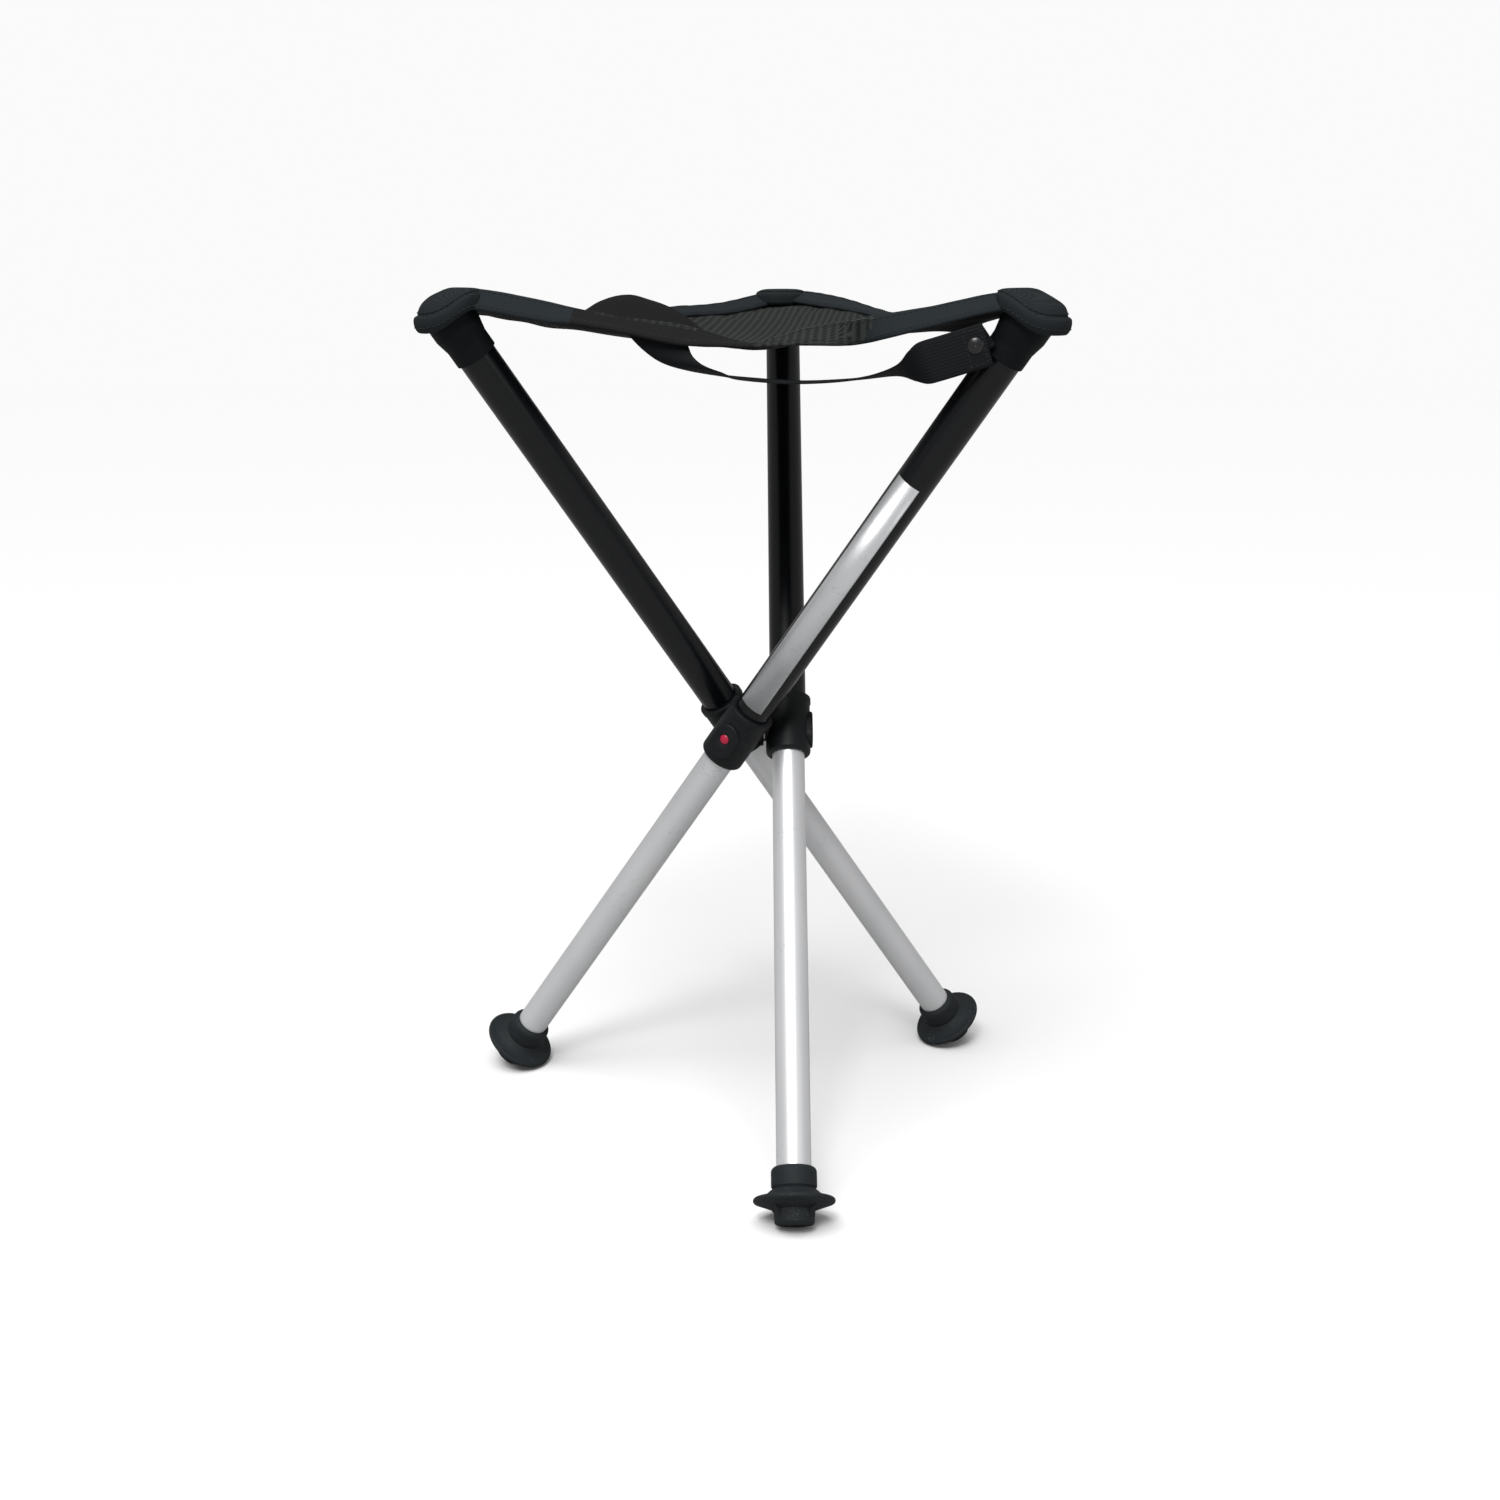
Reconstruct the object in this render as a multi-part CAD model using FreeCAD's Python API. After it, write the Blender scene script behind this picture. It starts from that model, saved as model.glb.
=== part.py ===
"""A folding three-legged stool with telescopic legs and a fabric seat.

Three legs cross at a small central hub. Each leg is a black outer tube with a
silver inner tube that slides into it, and turns on a screw in the hub. The
tops of the outer tubes carry the corners of a triangular fabric seat.

Millimetres, +Z up. The origin is on the floor under the middle of the hub, and
+Y points away from the viewer, towards the seat's rear corner.

Each piece of a leg is drawn upright first: Z runs up the leg from its pivot,
X points from the hub outwards through the pivot, and place() leans it over.
"""

import FreeCAD, Part
import math
import os

Vec = FreeCAD.Vector
X_AXIS = Vec(1, 0, 0)
Y_AXIS = Vec(0, 1, 0)
Z_AXIS = Vec(0, 0, 1)

# Legs, in their order round the hub
LEGS = ("rear", "left", "right")
LEG_TILT = 36.1  # degrees from upright, stool open
LEG_ABOVE_PIVOT = 335.0  # up the leg, to the top of its end cap
FOOT_BELOW_PIVOT = 310.0  # down the leg, to the middle of the foot's flange

# Tubes
OUTER_TUBE_D = 24.0
OUTER_TUBE_WALL = 1.1
INNER_TUBE_WALL = 1.2
TUBE_OVERLAP = 42.0  # how far the drawn-out inner tube still reaches above the pivot

# Running gaps and fits
FIT = 0.05  # between pieces that are pressed or glued together
PLAY = 0.2  # between pieces that slide on each other
CLOTH_GAP = 0.3  # between cloth and what it lies on

# Hub sleeve, the moulding round each outer tube
SLEEVE_WALL = 2.65
SLEEVE_TOP = 21.0
SLEEVE_BOTTOM = 19.5
SLEEVE_LIP = 4.0  # the lower end, which closes in on the inner tube
SLEEVE_EDGE = 2.4
COLLAR_STEP = 0.6  # how far the collar stands out of the sleeve
COLLAR_HEIGHT = 4.6
COLLAR_EDGE = 0.8
PAD_WIDTH = 17.0
PAD_LENGTH = 25.0
PAD_DROP = 1.5  # of the pad's middle below the button
PAD_RISE = 1.5  # how far the thumb pad stands out of the sleeve
PAD_EDGE = 1.2
DISH_DEPTH = 1.2
DISH_RADIUS = 12.0

# Hub core, pivot screws and washers
CORE_FLAT = 6.6  # from the hub's middle to each of its three flats
CORE_CORNER = 11.5
CORE_HEIGHT = 20.0
CORE_CHAMFER = 1.0
WASHER_D = 14.0
WASHER_THICKNESS = 1.0
PIVOT_BOSS_D = 18.0
PIVOT_BOSS_RISE = 0.6  # how far the boss stands out of the sleeve
PIVOT_BOSS_EDGE = 0.3
PIVOT_PLAY = 0.1
SCREW_D = 4.0
SCREW_HEAD_D = 8.2
SCREW_HEAD_RIM = 0.4
SCREW_HEAD_HEIGHT = 1.9
SCREW_TIP = 2.6  # from the hub's middle to the screw's end
SCREW_DRIVE_D = 2.5
SCREW_DRIVE_DEPTH = 1.2

# Release button and latch
BUTTON_D = 6.2
BUTTON_FLANGE_D = 8.4
BUTTON_FLANGE_THICKNESS = 0.9
BUTTON_SHOULDER = 0.45  # of its round side above the dish's lowest point
BUTTON_DOME = 1.05  # above the shoulder
LATCH_D = 8.0
LATCH_HOLE_PLAY = 0.4
LATCH_STICKS_OUT = 0.5  # past the outer tube's surface
LATCH_EDGE = 0.9
BUTTON_TO_LATCH = 0.3
SPRING_WIDTH = 7.0
SPRING_THICKNESS = 0.8
SPRING_BEND_RADIUS = 3.5
SPRING_ARM = 36.0
SPRING_WALL_GAP = 0.2
LATCH_ROOT = 1.6  # how far the latch reaches inwards past the spring's outer face

# Glide bush in the inner tube's upper end
BUSH_HEAD = 6.0
BUSH_SPIGOT = 8.0
BUSH_WALL = 1.4
BUSH_CHAMFER = 0.8

# Rubber foot
FOOT_COLLAR_WALL = 3.25  # round the inner tube
FOOT_COLLAR_HEIGHT = 20.5  # above the middle of the flange
FOOT_COLLAR_EDGE = 3.6
FOOT_FLANGE_D = 50.0
FOOT_RIM_RADIUS = 1.8
FOOT_FLANGE_ROOT = 5.6  # above and below the flange's middle, where it leaves the collar
FOOT_DISH = (5.5, 2.6)  # in from the rim and up, a point on the flange's hollow top
FOOT_GROOVE_DEPTH = 0.9
FOOT_GROOVE_WIDTH = 2.6
FOOT_BOSS_D = 25.4
FOOT_BOSS_TAPER = 0.6
FOOT_BOSS_DEPTH = 14.1  # below the middle of the flange
FOOT_BOSS_EDGE = 1.5
FOOT_BOSS_SWELL = 0.3  # of its under side
FOOT_SOCKET_FLOOR = 2.0  # below the middle of the flange
FOOT_RIBS = 4
FOOT_RIB_THICKNESS = 1.6
FOOT_RIB_REACH = 20.0  # from the foot's axis, where the ribs meet the flange
FOOT_RIB_ROOT = 2.0  # how deep the ribs' roots lie in the flange and the boss
FOOT_RIB_END = 3.3  # above the boss's under side
FOOT_FLAT = 0.8  # how much of the lowest edge is worn to a flat

# End cap
CAP_LENGTH = 31.0
CAP_WALL = 1.25  # round the outer tube, at the cap's mouth
CAP_HEAD_STEP = 1.9  # how far the head stands out of the mouth
CAP_HEAD_LENGTH = 12.0
CAP_TOP_THICKNESS = 3.0
CAP_EDGE = 4.0
CAP_TAPER = 9.0  # how far up the cap its head widens

# Seat
SEAT_MIDDLE_DROP = 29.5  # of the seat's middle below its corners
SEAT_CORNER_RISE = 8.5  # of the cloth's middle surface above the leg's end
SEAT_MESH_THICKNESS = 1.6
SEAT_EDGE_PULL = 97.0  # from the middle to the seat's edge, where that is nearest
SEAT_CORNER_PAST_LEG = 16.0
BINDING_HEIGHT = 15.0
BINDING_THICKNESS = 3.0
SEAM_GAP = 0.2

# Corner pockets
POCKET_RADIUS = 23.0
POCKET_TOP = 13.2  # above the leg's end
POCKET_DROOP = 12.6  # below the leg's end
POCKET_THICKNESS = 2.2
POCKET_EDGE = 9.0
POCKET_LIP = 3.4

# Carrying strap, from under the seat's front edge to a tab near its right end.
# Each station gives the webbing's middle and the way its width lies, along the
# front edge from the edge's middle, outwards from it, and up.
STRAP_WIDTH = 25.0
STRAP_THICKNESS = 1.5
STRAP_STATIONS = [
    ((-49.5, 0.8, -6.1), (1.0, 0.0, -0.07)),
    ((-44.5, 1.5, -10.2), (0.97, 0.25, 0.0)),
    ((-37.0, 3.0, -13.8), (0.85, 0.5, 0.1)),
    ((-27.0, 4.4, -17.0), (0.65, 0.75, 0.12)),
    ((-12.0, 5.0, -20.4), (0.35, 0.93, 0.1)),
    ((4.0, 4.6, -23.4), (0.05, 1.0, 0.0)),
    ((38.0, 3.4, -25.4), (0.0, 1.0, 0.0)),
    ((72.0, 4.6, -23.2), (0.0, 1.0, 0.05)),
    ((94.0, 7.8, -18.6), (-0.05, 0.96, 0.26)),
    ((103.0, 9.8, -16.0), (-0.2, 0.7, 0.7)),
    ((109.0, 10.6, -14.2), (-0.28, 0.25, 0.92)),
    ((114.0, 10.75, -12.7), (-0.29, 0.0, 0.96)),
]
STRAP_END = (146.0, -3.0)  # along and up, to the middle of the webbing's cut end
TAB_WIDTH = 16.0
TAB_THICKNESS = 1.6
TAB_TOP = (146.0, 3.0)  # along and up, to the middle of its sewn end
TAB_END = (123.0, -13.3)  # to the middle of its round end
SNAP_PLACE = (139.0, -4.0)
SNAP_D = 9.0
SNAP_RIM = 0.4
SNAP_DOME = 1.0
SNAP_BACK_D = 7.2
SNAP_BACK_THICKNESS = 1.4
SNAP_POST_D = 4.0

TILT = math.radians(LEG_TILT)
LEG_TURNS = {leg: 360 / len(LEGS) * i for i, leg in enumerate(LEGS)}
OUTER_RADIUS = OUTER_TUBE_D / 2
OUTER_BORE = OUTER_RADIUS - OUTER_TUBE_WALL
INNER_RADIUS = OUTER_BORE - PLAY
INNER_BORE = INNER_RADIUS - INNER_TUBE_WALL
SLEEVE_RADIUS = OUTER_RADIUS + FIT + SLEEVE_WALL
CAP_MOUTH_RADIUS = OUTER_RADIUS + FIT + CAP_WALL
CAP_HEAD_RADIUS = CAP_MOUTH_RADIUS + CAP_HEAD_STEP
FOOT_COLLAR_RADIUS = INNER_RADIUS + FIT + FOOT_COLLAR_WALL
BOSS_FACE = CORE_FLAT + WASHER_THICKNESS + PIVOT_PLAY  # from the hub's middle

# From the hub's middle to a leg's own axis
LEG_OFFSET = BOSS_FACE + PIVOT_BOSS_RISE + SLEEVE_RADIUS

FOOT_BOTTOM = FOOT_BELOW_PIVOT + FOOT_BOSS_DEPTH
BOSS_RADIUS = FOOT_BOSS_D / 2 - FOOT_BOSS_TAPER

# The pivots' height puts the flat on each foot's lowest edge on the floor.
PIVOT_Z = (
    (FOOT_BOTTOM - FOOT_BOSS_EDGE) * math.cos(TILT)
    + (BOSS_RADIUS - FOOT_BOSS_EDGE) * math.sin(TILT)
    + FOOT_BOSS_EDGE
    - FOOT_FLAT
)

# Where a leg's upper end stands
END_FORWARD = LEG_ABOVE_PIVOT * math.sin(TILT)
END_RADIUS = math.hypot(LEG_OFFSET, END_FORWARD)
END_TURN = math.degrees(math.atan2(END_FORWARD, LEG_OFFSET))
END_Z = PIVOT_Z + LEG_ABOVE_PIVOT * math.cos(TILT)


def outline(start, *steps):
    """A closed wire in the XZ plane. A step is a point, or an arc's middle and end."""
    edges = []
    here = start
    for step in steps + (start,):
        is_arc = isinstance(step[0], tuple)
        end = step[1] if is_arc else step
        a = Vec(here[0], 0, here[1])
        b = Vec(end[0], 0, end[1])
        if is_arc:
            middle = Vec(step[0][0], 0, step[0][1])
            edges.append(Part.Arc(a, middle, b).toShape())
        elif a.distanceToPoint(b) > 1e-6:
            edges.append(Part.makeLine(a, b))
        here = end
    return Part.Wire(edges)


def round_corner(centre, radius, angle):
    """The point at an angle in degrees on a round corner."""
    a = math.radians(angle)
    return (centre[0] + radius * math.cos(a), centre[1] + radius * math.sin(a))


def dome(radius, low, high):
    """An arc's middle and end, from the edge of a dome to its top on the axis."""
    rise = high - low
    ball = (radius**2 + rise**2) / (2 * rise)
    half = math.asin(radius / abs(ball)) / 2
    return ((abs(ball) * math.sin(half), high - ball + ball * math.cos(half)), (0, high))


def lathe(start, *steps):
    """A solid turned about Z from an outline of radii and heights."""
    return Part.Face(outline(start, *steps)).revolve(Vec(0, 0, 0), Z_AXIS, 360)


def ring(inner, outer, low, high):
    """A plain tube about Z."""
    wall = Part.makeCylinder(outer, high - low, Vec(0, 0, low))
    return wall.cut(Part.makeCylinder(inner, high - low, Vec(0, 0, low)))


def along_x(radius, start, end):
    """A round bar along X through the pivot."""
    return Part.makeCylinder(radius, end - start, Vec(start, 0, 0), X_AXIS)


def place(shape, leg):
    """Lean an upright leg piece over and carry it to its place at the hub."""
    s = shape.copy()
    s.rotate(Vec(0, 0, 0), X_AXIS, -LEG_TILT)
    s.translate(Vec(LEG_OFFSET, 0, PIVOT_Z))
    s.rotate(Vec(0, 0, 0), Z_AXIS, LEG_TURNS[leg])
    return s


def around(shape, leg):
    """Turn a piece that is drawn for the rear leg to another leg."""
    s = shape.copy()
    s.rotate(Vec(0, 0, 0), Z_AXIS, LEG_TURNS[leg])
    return s


# Tubes


def outer_tube():
    """The black tube, from the sleeve's lip to the end cap, with the latch hole."""
    low = -SLEEVE_BOTTOM + SLEEVE_LIP
    high = LEG_ABOVE_PIVOT - CAP_TOP_THICKNESS
    tube = ring(OUTER_BORE, OUTER_RADIUS, low, high)
    return tube.cut(along_x(LATCH_D / 2 + LATCH_HOLE_PLAY, 0, OUTER_TUBE_D))


def inner_tube():
    """The silver tube, from the foot's socket to the glide bush."""
    low = -FOOT_BELOW_PIVOT - FOOT_SOCKET_FLOOR
    tube = ring(INNER_BORE, INNER_RADIUS, low, TUBE_OVERLAP - BUSH_HEAD)
    return tube.cut(along_x(LATCH_D / 2 + LATCH_HOLE_PLAY, 0, OUTER_TUBE_D))


def glide_bush():
    """The nylon bush that fills the gap between the tubes at the inner one's top."""
    top = TUBE_OVERLAP
    seat = top - BUSH_HEAD
    spigot = INNER_BORE - FIT
    head = OUTER_BORE - PLAY / 2
    bore = spigot - BUSH_WALL
    return lathe(
        (bore, seat - BUSH_SPIGOT),
        (spigot - BUSH_CHAMFER / 2, seat - BUSH_SPIGOT),
        (spigot, seat - BUSH_SPIGOT + BUSH_CHAMFER),
        (spigot, seat),
        (head, seat),
        (head, top - BUSH_CHAMFER),
        (head - BUSH_CHAMFER, top),
        (bore, top),
    )


# Hub


def hub_sleeve():
    """The moulding that grips the outer tube, guides the inner one and holds the button."""
    outer = SLEEVE_RADIUS
    collar = SLEEVE_RADIUS + COLLAR_STEP
    bore = OUTER_RADIUS + FIT
    guide = INNER_RADIUS + PLAY
    low = -SLEEVE_BOTTOM
    neck = SLEEVE_TOP - COLLAR_HEIGHT
    body = lathe(
        (guide, low),
        (outer - SLEEVE_EDGE, low),
        (
            round_corner((outer - SLEEVE_EDGE, low + SLEEVE_EDGE), SLEEVE_EDGE, -45),
            (outer, low + SLEEVE_EDGE),
        ),
        (outer, neck),
        (collar, neck + COLLAR_EDGE),
        (collar, SLEEVE_TOP - COLLAR_EDGE),
        (
            round_corner((collar - COLLAR_EDGE, SLEEVE_TOP - COLLAR_EDGE), COLLAR_EDGE, 45),
            (collar - COLLAR_EDGE, SLEEVE_TOP),
        ),
        (bore, SLEEVE_TOP),
        (bore, low + SLEEVE_LIP),
        (guide, low + SLEEVE_LIP),
    )
    pad_face = outer + PAD_RISE
    body = body.fuse(thumb_pad(pad_face)).fuse(pivot_boss())
    hollow = Part.makeCylinder(bore, SLEEVE_TOP - low, Vec(0, 0, low + SLEEVE_LIP))
    guide_hole = Part.makeCylinder(guide, 2 * SLEEVE_BOTTOM, Vec(0, 0, 2 * low))
    dish_centre = Vec(pad_face - DISH_DEPTH + DISH_RADIUS, 0, 0)
    dish = Part.makeSphere(DISH_RADIUS, dish_centre)
    button_hole = along_x(BUTTON_D / 2 + PLAY, bore, 2 * outer)
    flange_room = along_x(BUTTON_FLANGE_D / 2 + LATCH_HOLE_PLAY, 0, button_roof())
    tools = [hollow, guide_hole, dish, button_hole, flange_room, screw_hole()]
    return body.cut(tools).removeSplitter()


def thumb_pad(face):
    """A rounded pad that stands out of the sleeve round the button."""
    half = PAD_WIDTH / 2
    straight = (PAD_LENGTH - PAD_WIDTH) / 2
    a = Vec(0, half, -straight)
    b = Vec(0, half, straight)
    c = Vec(0, -half, straight)
    d = Vec(0, -half, -straight)
    top = Vec(0, 0, straight + half)
    bottom = Vec(0, 0, -straight - half)
    wire = Part.Wire(
        [
            Part.makeLine(a, b),
            Part.Arc(b, top, c).toShape(),
            Part.makeLine(c, d),
            Part.Arc(d, bottom, a).toShape(),
        ]
    )
    pad = Part.Face(wire).extrude(Vec(face, 0, 0))
    pad.translate(Vec(0, 0, -PAD_DROP))
    rim = [e for e in pad.Edges if abs(e.CenterOfMass.x - face) < 1e-6]
    return pad.makeFillet(PAD_EDGE, rim)


def pivot_boss():
    """The flat boss on the sleeve's inner side that bears on the hub's washer."""
    start = BOSS_FACE - LEG_OFFSET
    boss = along_x(PIVOT_BOSS_D / 2, start, -OUTER_RADIUS)
    rim = [e for e in boss.Edges if abs(e.CenterOfMass.x - start) < 1e-6]
    return boss.makeChamfer(PIVOT_BOSS_EDGE, rim)


def screw_head_top():
    """The screw head's outer face, clear of the outer tube, from the leg's axis."""
    return -OUTER_RADIUS - CLOTH_GAP


def screw_cone(grow, top):
    """A countersunk head's form along X, its wide end towards the leg's axis."""
    head = SCREW_HEAD_D / 2 + grow
    shank = SCREW_D / 2 + grow
    low = screw_head_top() - SCREW_HEAD_HEIGHT
    rim = screw_head_top() - SCREW_HEAD_RIM
    cone = Part.makeCone(shank, head, rim - low, Vec(low, 0, 0), X_AXIS)
    return cone.fuse(along_x(head, rim, top))


def screw_hole():
    """The countersunk hole through the sleeve's wall and boss."""
    grow = PLAY
    shank = along_x(SCREW_D / 2 + grow, -LEG_OFFSET, 0)
    return screw_cone(grow, 0).fuse(shank)


def pivot_screw():
    """One countersunk screw: the leg turns on it, and its tip is in the hub core."""
    shank = along_x(SCREW_D / 2, SCREW_TIP - LEG_OFFSET, screw_head_top() - SCREW_HEAD_HEIGHT)
    screw = screw_cone(0, screw_head_top()).fuse(shank)
    corners = []
    for i in range(7):
        a = math.radians(60 * i)
        r = SCREW_DRIVE_D / 2
        corners.append(Vec(screw_head_top() - SCREW_DRIVE_DEPTH, r * math.cos(a), r * math.sin(a)))
    socket = Part.Face(Part.makePolygon(corners)).extrude(Vec(2 * SCREW_DRIVE_DEPTH, 0, 0))
    return screw.cut(socket).removeSplitter()


def pivot_washer():
    """One flat washer between the hub core's flat and a sleeve's boss."""
    start = CORE_FLAT - LEG_OFFSET
    end = start + WASHER_THICKNESS
    disc = along_x(WASHER_D / 2, start, end)
    return disc.cut(along_x(SCREW_D / 2 + PLAY, start, end))


def hub_core():
    """The three-sided block in the middle, with a screw hole in each flat."""
    block = Part.makeCylinder(CORE_CORNER, CORE_HEIGHT, Vec(0, 0, PIVOT_Z - CORE_HEIGHT / 2))
    rims = [e for e in block.Edges if isinstance(e.Curve, Part.Circle)]
    block = block.makeChamfer(CORE_CHAMFER, rims)
    size = 2 * CORE_HEIGHT
    for leg in LEG_TURNS:
        beyond = Part.makeBox(size, size, size, Vec(CORE_FLAT, -size / 2, PIVOT_Z - size / 2))
        hole = Part.makeCylinder(
            SCREW_D / 2 + FIT, size, Vec(SCREW_TIP - PLAY, 0, PIVOT_Z), X_AXIS
        )
        block = block.cut([around(beyond, leg), around(hole, leg)])
    return block.removeSplitter()


# Release button and latch


def button_roof():
    """From the leg's axis to the inside of the wall that keeps the button in."""
    return button_bottom() + BUTTON_FLANGE_THICKNESS + PLAY


def button_bottom():
    """From the leg's axis to the button's inner face."""
    return OUTER_RADIUS + LATCH_STICKS_OUT + BUTTON_TO_LATCH


def release_button():
    """The red button: a domed head, and a flange that keeps it in the sleeve."""
    bottom = button_bottom()
    shoulder = SLEEVE_RADIUS + PAD_RISE - DISH_DEPTH - bottom + BUTTON_SHOULDER
    r = BUTTON_D / 2
    flange = BUTTON_FLANGE_D / 2
    button = lathe(
        (0, 0),
        (flange, 0),
        (flange, BUTTON_FLANGE_THICKNESS),
        (r, BUTTON_FLANGE_THICKNESS),
        (r, shoulder),
        dome(r, shoulder, shoulder + BUTTON_DOME),
    )
    button.rotate(Vec(0, 0, 0), Y_AXIS, 90)
    button.translate(Vec(bottom, 0, 0))
    return button


def lock_spring():
    """The bent leaf spring in the inner tube, with the latch on its outer arm."""
    reach = INNER_BORE - SPRING_WALL_GAP
    edge = math.sqrt(reach**2 - (SPRING_WIDTH / 2) ** 2)
    lean = math.asin((edge - SPRING_BEND_RADIUS) / SPRING_ARM)
    bend_z = -(SPRING_ARM - LATCH_D / 2) * math.cos(lean)

    def side(sign, radius, arm):
        x = radius * math.cos(lean) + arm * math.sin(lean)
        z = bend_z - radius * math.sin(lean) + arm * math.cos(lean)
        return (sign * x, z)

    outer = SPRING_BEND_RADIUS
    inner = SPRING_BEND_RADIUS - SPRING_THICKNESS
    leaf = Part.Face(
        outline(
            side(1, outer, SPRING_ARM),
            side(1, outer, 0),
            ((0, bend_z - outer), side(-1, outer, 0)),
            side(-1, outer, SPRING_ARM),
            side(-1, inner, SPRING_ARM),
            side(-1, inner, 0),
            ((0, bend_z - inner), side(1, inner, 0)),
            side(1, inner, SPRING_ARM),
        )
    ).extrude(Vec(0, SPRING_WIDTH, 0))
    leaf.translate(Vec(0, -SPRING_WIDTH / 2, 0))
    top = OUTER_RADIUS + LATCH_STICKS_OUT
    latch = along_x(LATCH_D / 2, edge - LATCH_ROOT, top)
    rim = [e for e in latch.Edges if abs(e.CenterOfMass.x - top) < 1e-6]
    latch = latch.makeFillet(LATCH_EDGE, rim)
    return leaf.fuse(latch).removeSplitter()


# Foot and end cap


def rubber_foot():
    """The foot: a collar round the tube, a wide flange, and a boss to stand on."""
    mid = -FOOT_BELOW_PIVOT
    bore = INNER_RADIUS + FIT
    collar = FOOT_COLLAR_RADIUS
    rim = FOOT_FLANGE_D / 2
    boss = FOOT_BOSS_D / 2
    top = mid + FOOT_COLLAR_HEIGHT
    edge = (collar - FOOT_COLLAR_EDGE, top - FOOT_COLLAR_EDGE)
    root = mid + FOOT_FLANGE_ROOT
    bottom = mid - FOOT_BOSS_DEPTH
    foot_edge = (BOSS_RADIUS - FOOT_BOSS_EDGE, bottom + FOOT_BOSS_EDGE)
    swell, middle = dome(foot_edge[0], bottom, bottom - FOOT_BOSS_SWELL)
    foot = lathe(
        middle,
        (swell, (foot_edge[0], bottom)),
        (round_corner(foot_edge, FOOT_BOSS_EDGE, -45), (BOSS_RADIUS, foot_edge[1])),
        (boss, mid - FOOT_FLANGE_ROOT),
        (rim - FOOT_RIM_RADIUS, mid - FOOT_RIM_RADIUS),
        ((rim, mid), (rim - FOOT_RIM_RADIUS, mid + FOOT_RIM_RADIUS)),
        ((rim - FOOT_DISH[0], mid + FOOT_DISH[1]), (collar + FOOT_GROOVE_DEPTH, root)),
        (collar - FOOT_GROOVE_DEPTH, root + FOOT_GROOVE_WIDTH / 2),
        (collar, root + FOOT_GROOVE_WIDTH),
        (collar, edge[1]),
        (round_corner(edge, FOOT_COLLAR_EDGE, 45), (edge[0], top)),
        (bore, top),
        (bore, mid - FOOT_SOCKET_FLOOR),
        (0, mid - FOOT_SOCKET_FLOOR),
    )
    high = mid - FOOT_RIM_RADIUS
    low = bottom + FOOT_RIB_END
    for i in range(FOOT_RIBS):
        rib = Part.Face(
            outline(
                (boss - FOOT_RIB_ROOT, high),
                (FOOT_RIB_REACH, high),
                (BOSS_RADIUS, low),
                (boss - FOOT_RIB_ROOT, low),
            )
        ).extrude(Vec(0, FOOT_RIB_THICKNESS, 0))
        rib.translate(Vec(0, -FOOT_RIB_THICKNESS / 2, 0))
        rib.rotate(Vec(0, 0, 0), Z_AXIS, 360 / FOOT_RIBS * (i + 0.5))
        foot = foot.fuse(rib)
    return foot.removeSplitter()


def standing(shape):
    """Wear away what reaches below the floor, which leaves a flat to stand on."""
    wide = 4 * END_RADIUS
    floor = Part.makeBox(wide, wide, FOOT_BOTTOM, Vec(-wide / 2, -wide / 2, -FOOT_BOTTOM))
    return shape.cut(floor)


def cap_form(grow):
    """The end cap's outside, grown by a gap where it is used to make room."""
    mouth = LEG_ABOVE_PIVOT - CAP_LENGTH
    top = LEG_ABOVE_PIVOT + grow
    head = CAP_HEAD_RADIUS + grow
    edge = CAP_EDGE
    shoulder = LEG_ABOVE_PIVOT - CAP_HEAD_LENGTH
    return lathe(
        (0, mouth - grow),
        (CAP_MOUTH_RADIUS + grow, mouth - grow),
        (CAP_MOUTH_RADIUS + grow, shoulder - CAP_TAPER),
        (head, shoulder),
        (head, top - edge),
        (round_corner((head - edge, top - edge), edge, 45), (head - edge, top)),
        (0, top),
    )


def end_cap():
    """The plastic cap on the outer tube's end, which the seat's corner sits on."""
    mouth = LEG_ABOVE_PIVOT - CAP_LENGTH
    depth = CAP_LENGTH - CAP_TOP_THICKNESS
    bore = Part.makeCylinder(OUTER_RADIUS + FIT, depth, Vec(0, 0, mouth))
    return cap_form(0).cut(bore)


# Seat


def seat_height(radius):
    """The height of the cloth's middle surface at a distance from the middle."""
    sphere = seat_sphere()
    return seat_lowest() + sphere - math.sqrt(sphere**2 - radius**2)


def seat_lowest():
    """The height of the cloth's middle surface in the seat's middle."""
    return END_Z + SEAT_CORNER_RISE - SEAT_MIDDLE_DROP


def seat_sphere():
    """The radius of the dish that the seat makes under its own slackness."""
    return (END_RADIUS**2 + SEAT_MIDDLE_DROP**2) / (2 * SEAT_MIDDLE_DROP)


def seat_shell(below, above):
    """The space between two dished surfaces, below and above the cloth's middle one."""
    sphere = seat_sphere()
    centre = Vec(0, 0, seat_lowest() + sphere)
    room = Part.makeBox(
        4 * END_RADIUS, 4 * END_RADIUS, 2 * END_RADIUS, Vec(-2 * END_RADIUS, -2 * END_RADIUS, 0)
    )
    room.translate(Vec(0, 0, seat_lowest() - END_RADIUS))
    shell = Part.makeSphere(sphere, centre - Vec(0, 0, below)).common(room)
    return shell.cut(Part.makeSphere(sphere, centre + Vec(0, 0, above)))


def at_turn(radius, degrees, z=0.0):
    """The point at a radius and an angle about the middle."""
    a = math.radians(degrees)
    return Vec(radius * math.cos(a), radius * math.sin(a), z)


def edge_arc(leg, out):
    """One of the seat's edges in plan, from a leg's corner to the next, moved out."""
    turn = LEG_TURNS[leg] + END_TURN
    corner = END_RADIUS + SEAT_CORNER_PAST_LEG + 2 * out
    return Part.Arc(
        at_turn(corner, turn),
        at_turn(SEAT_EDGE_PULL + out, turn + 60),
        at_turn(corner, turn + 120),
    ).toShape()


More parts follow.
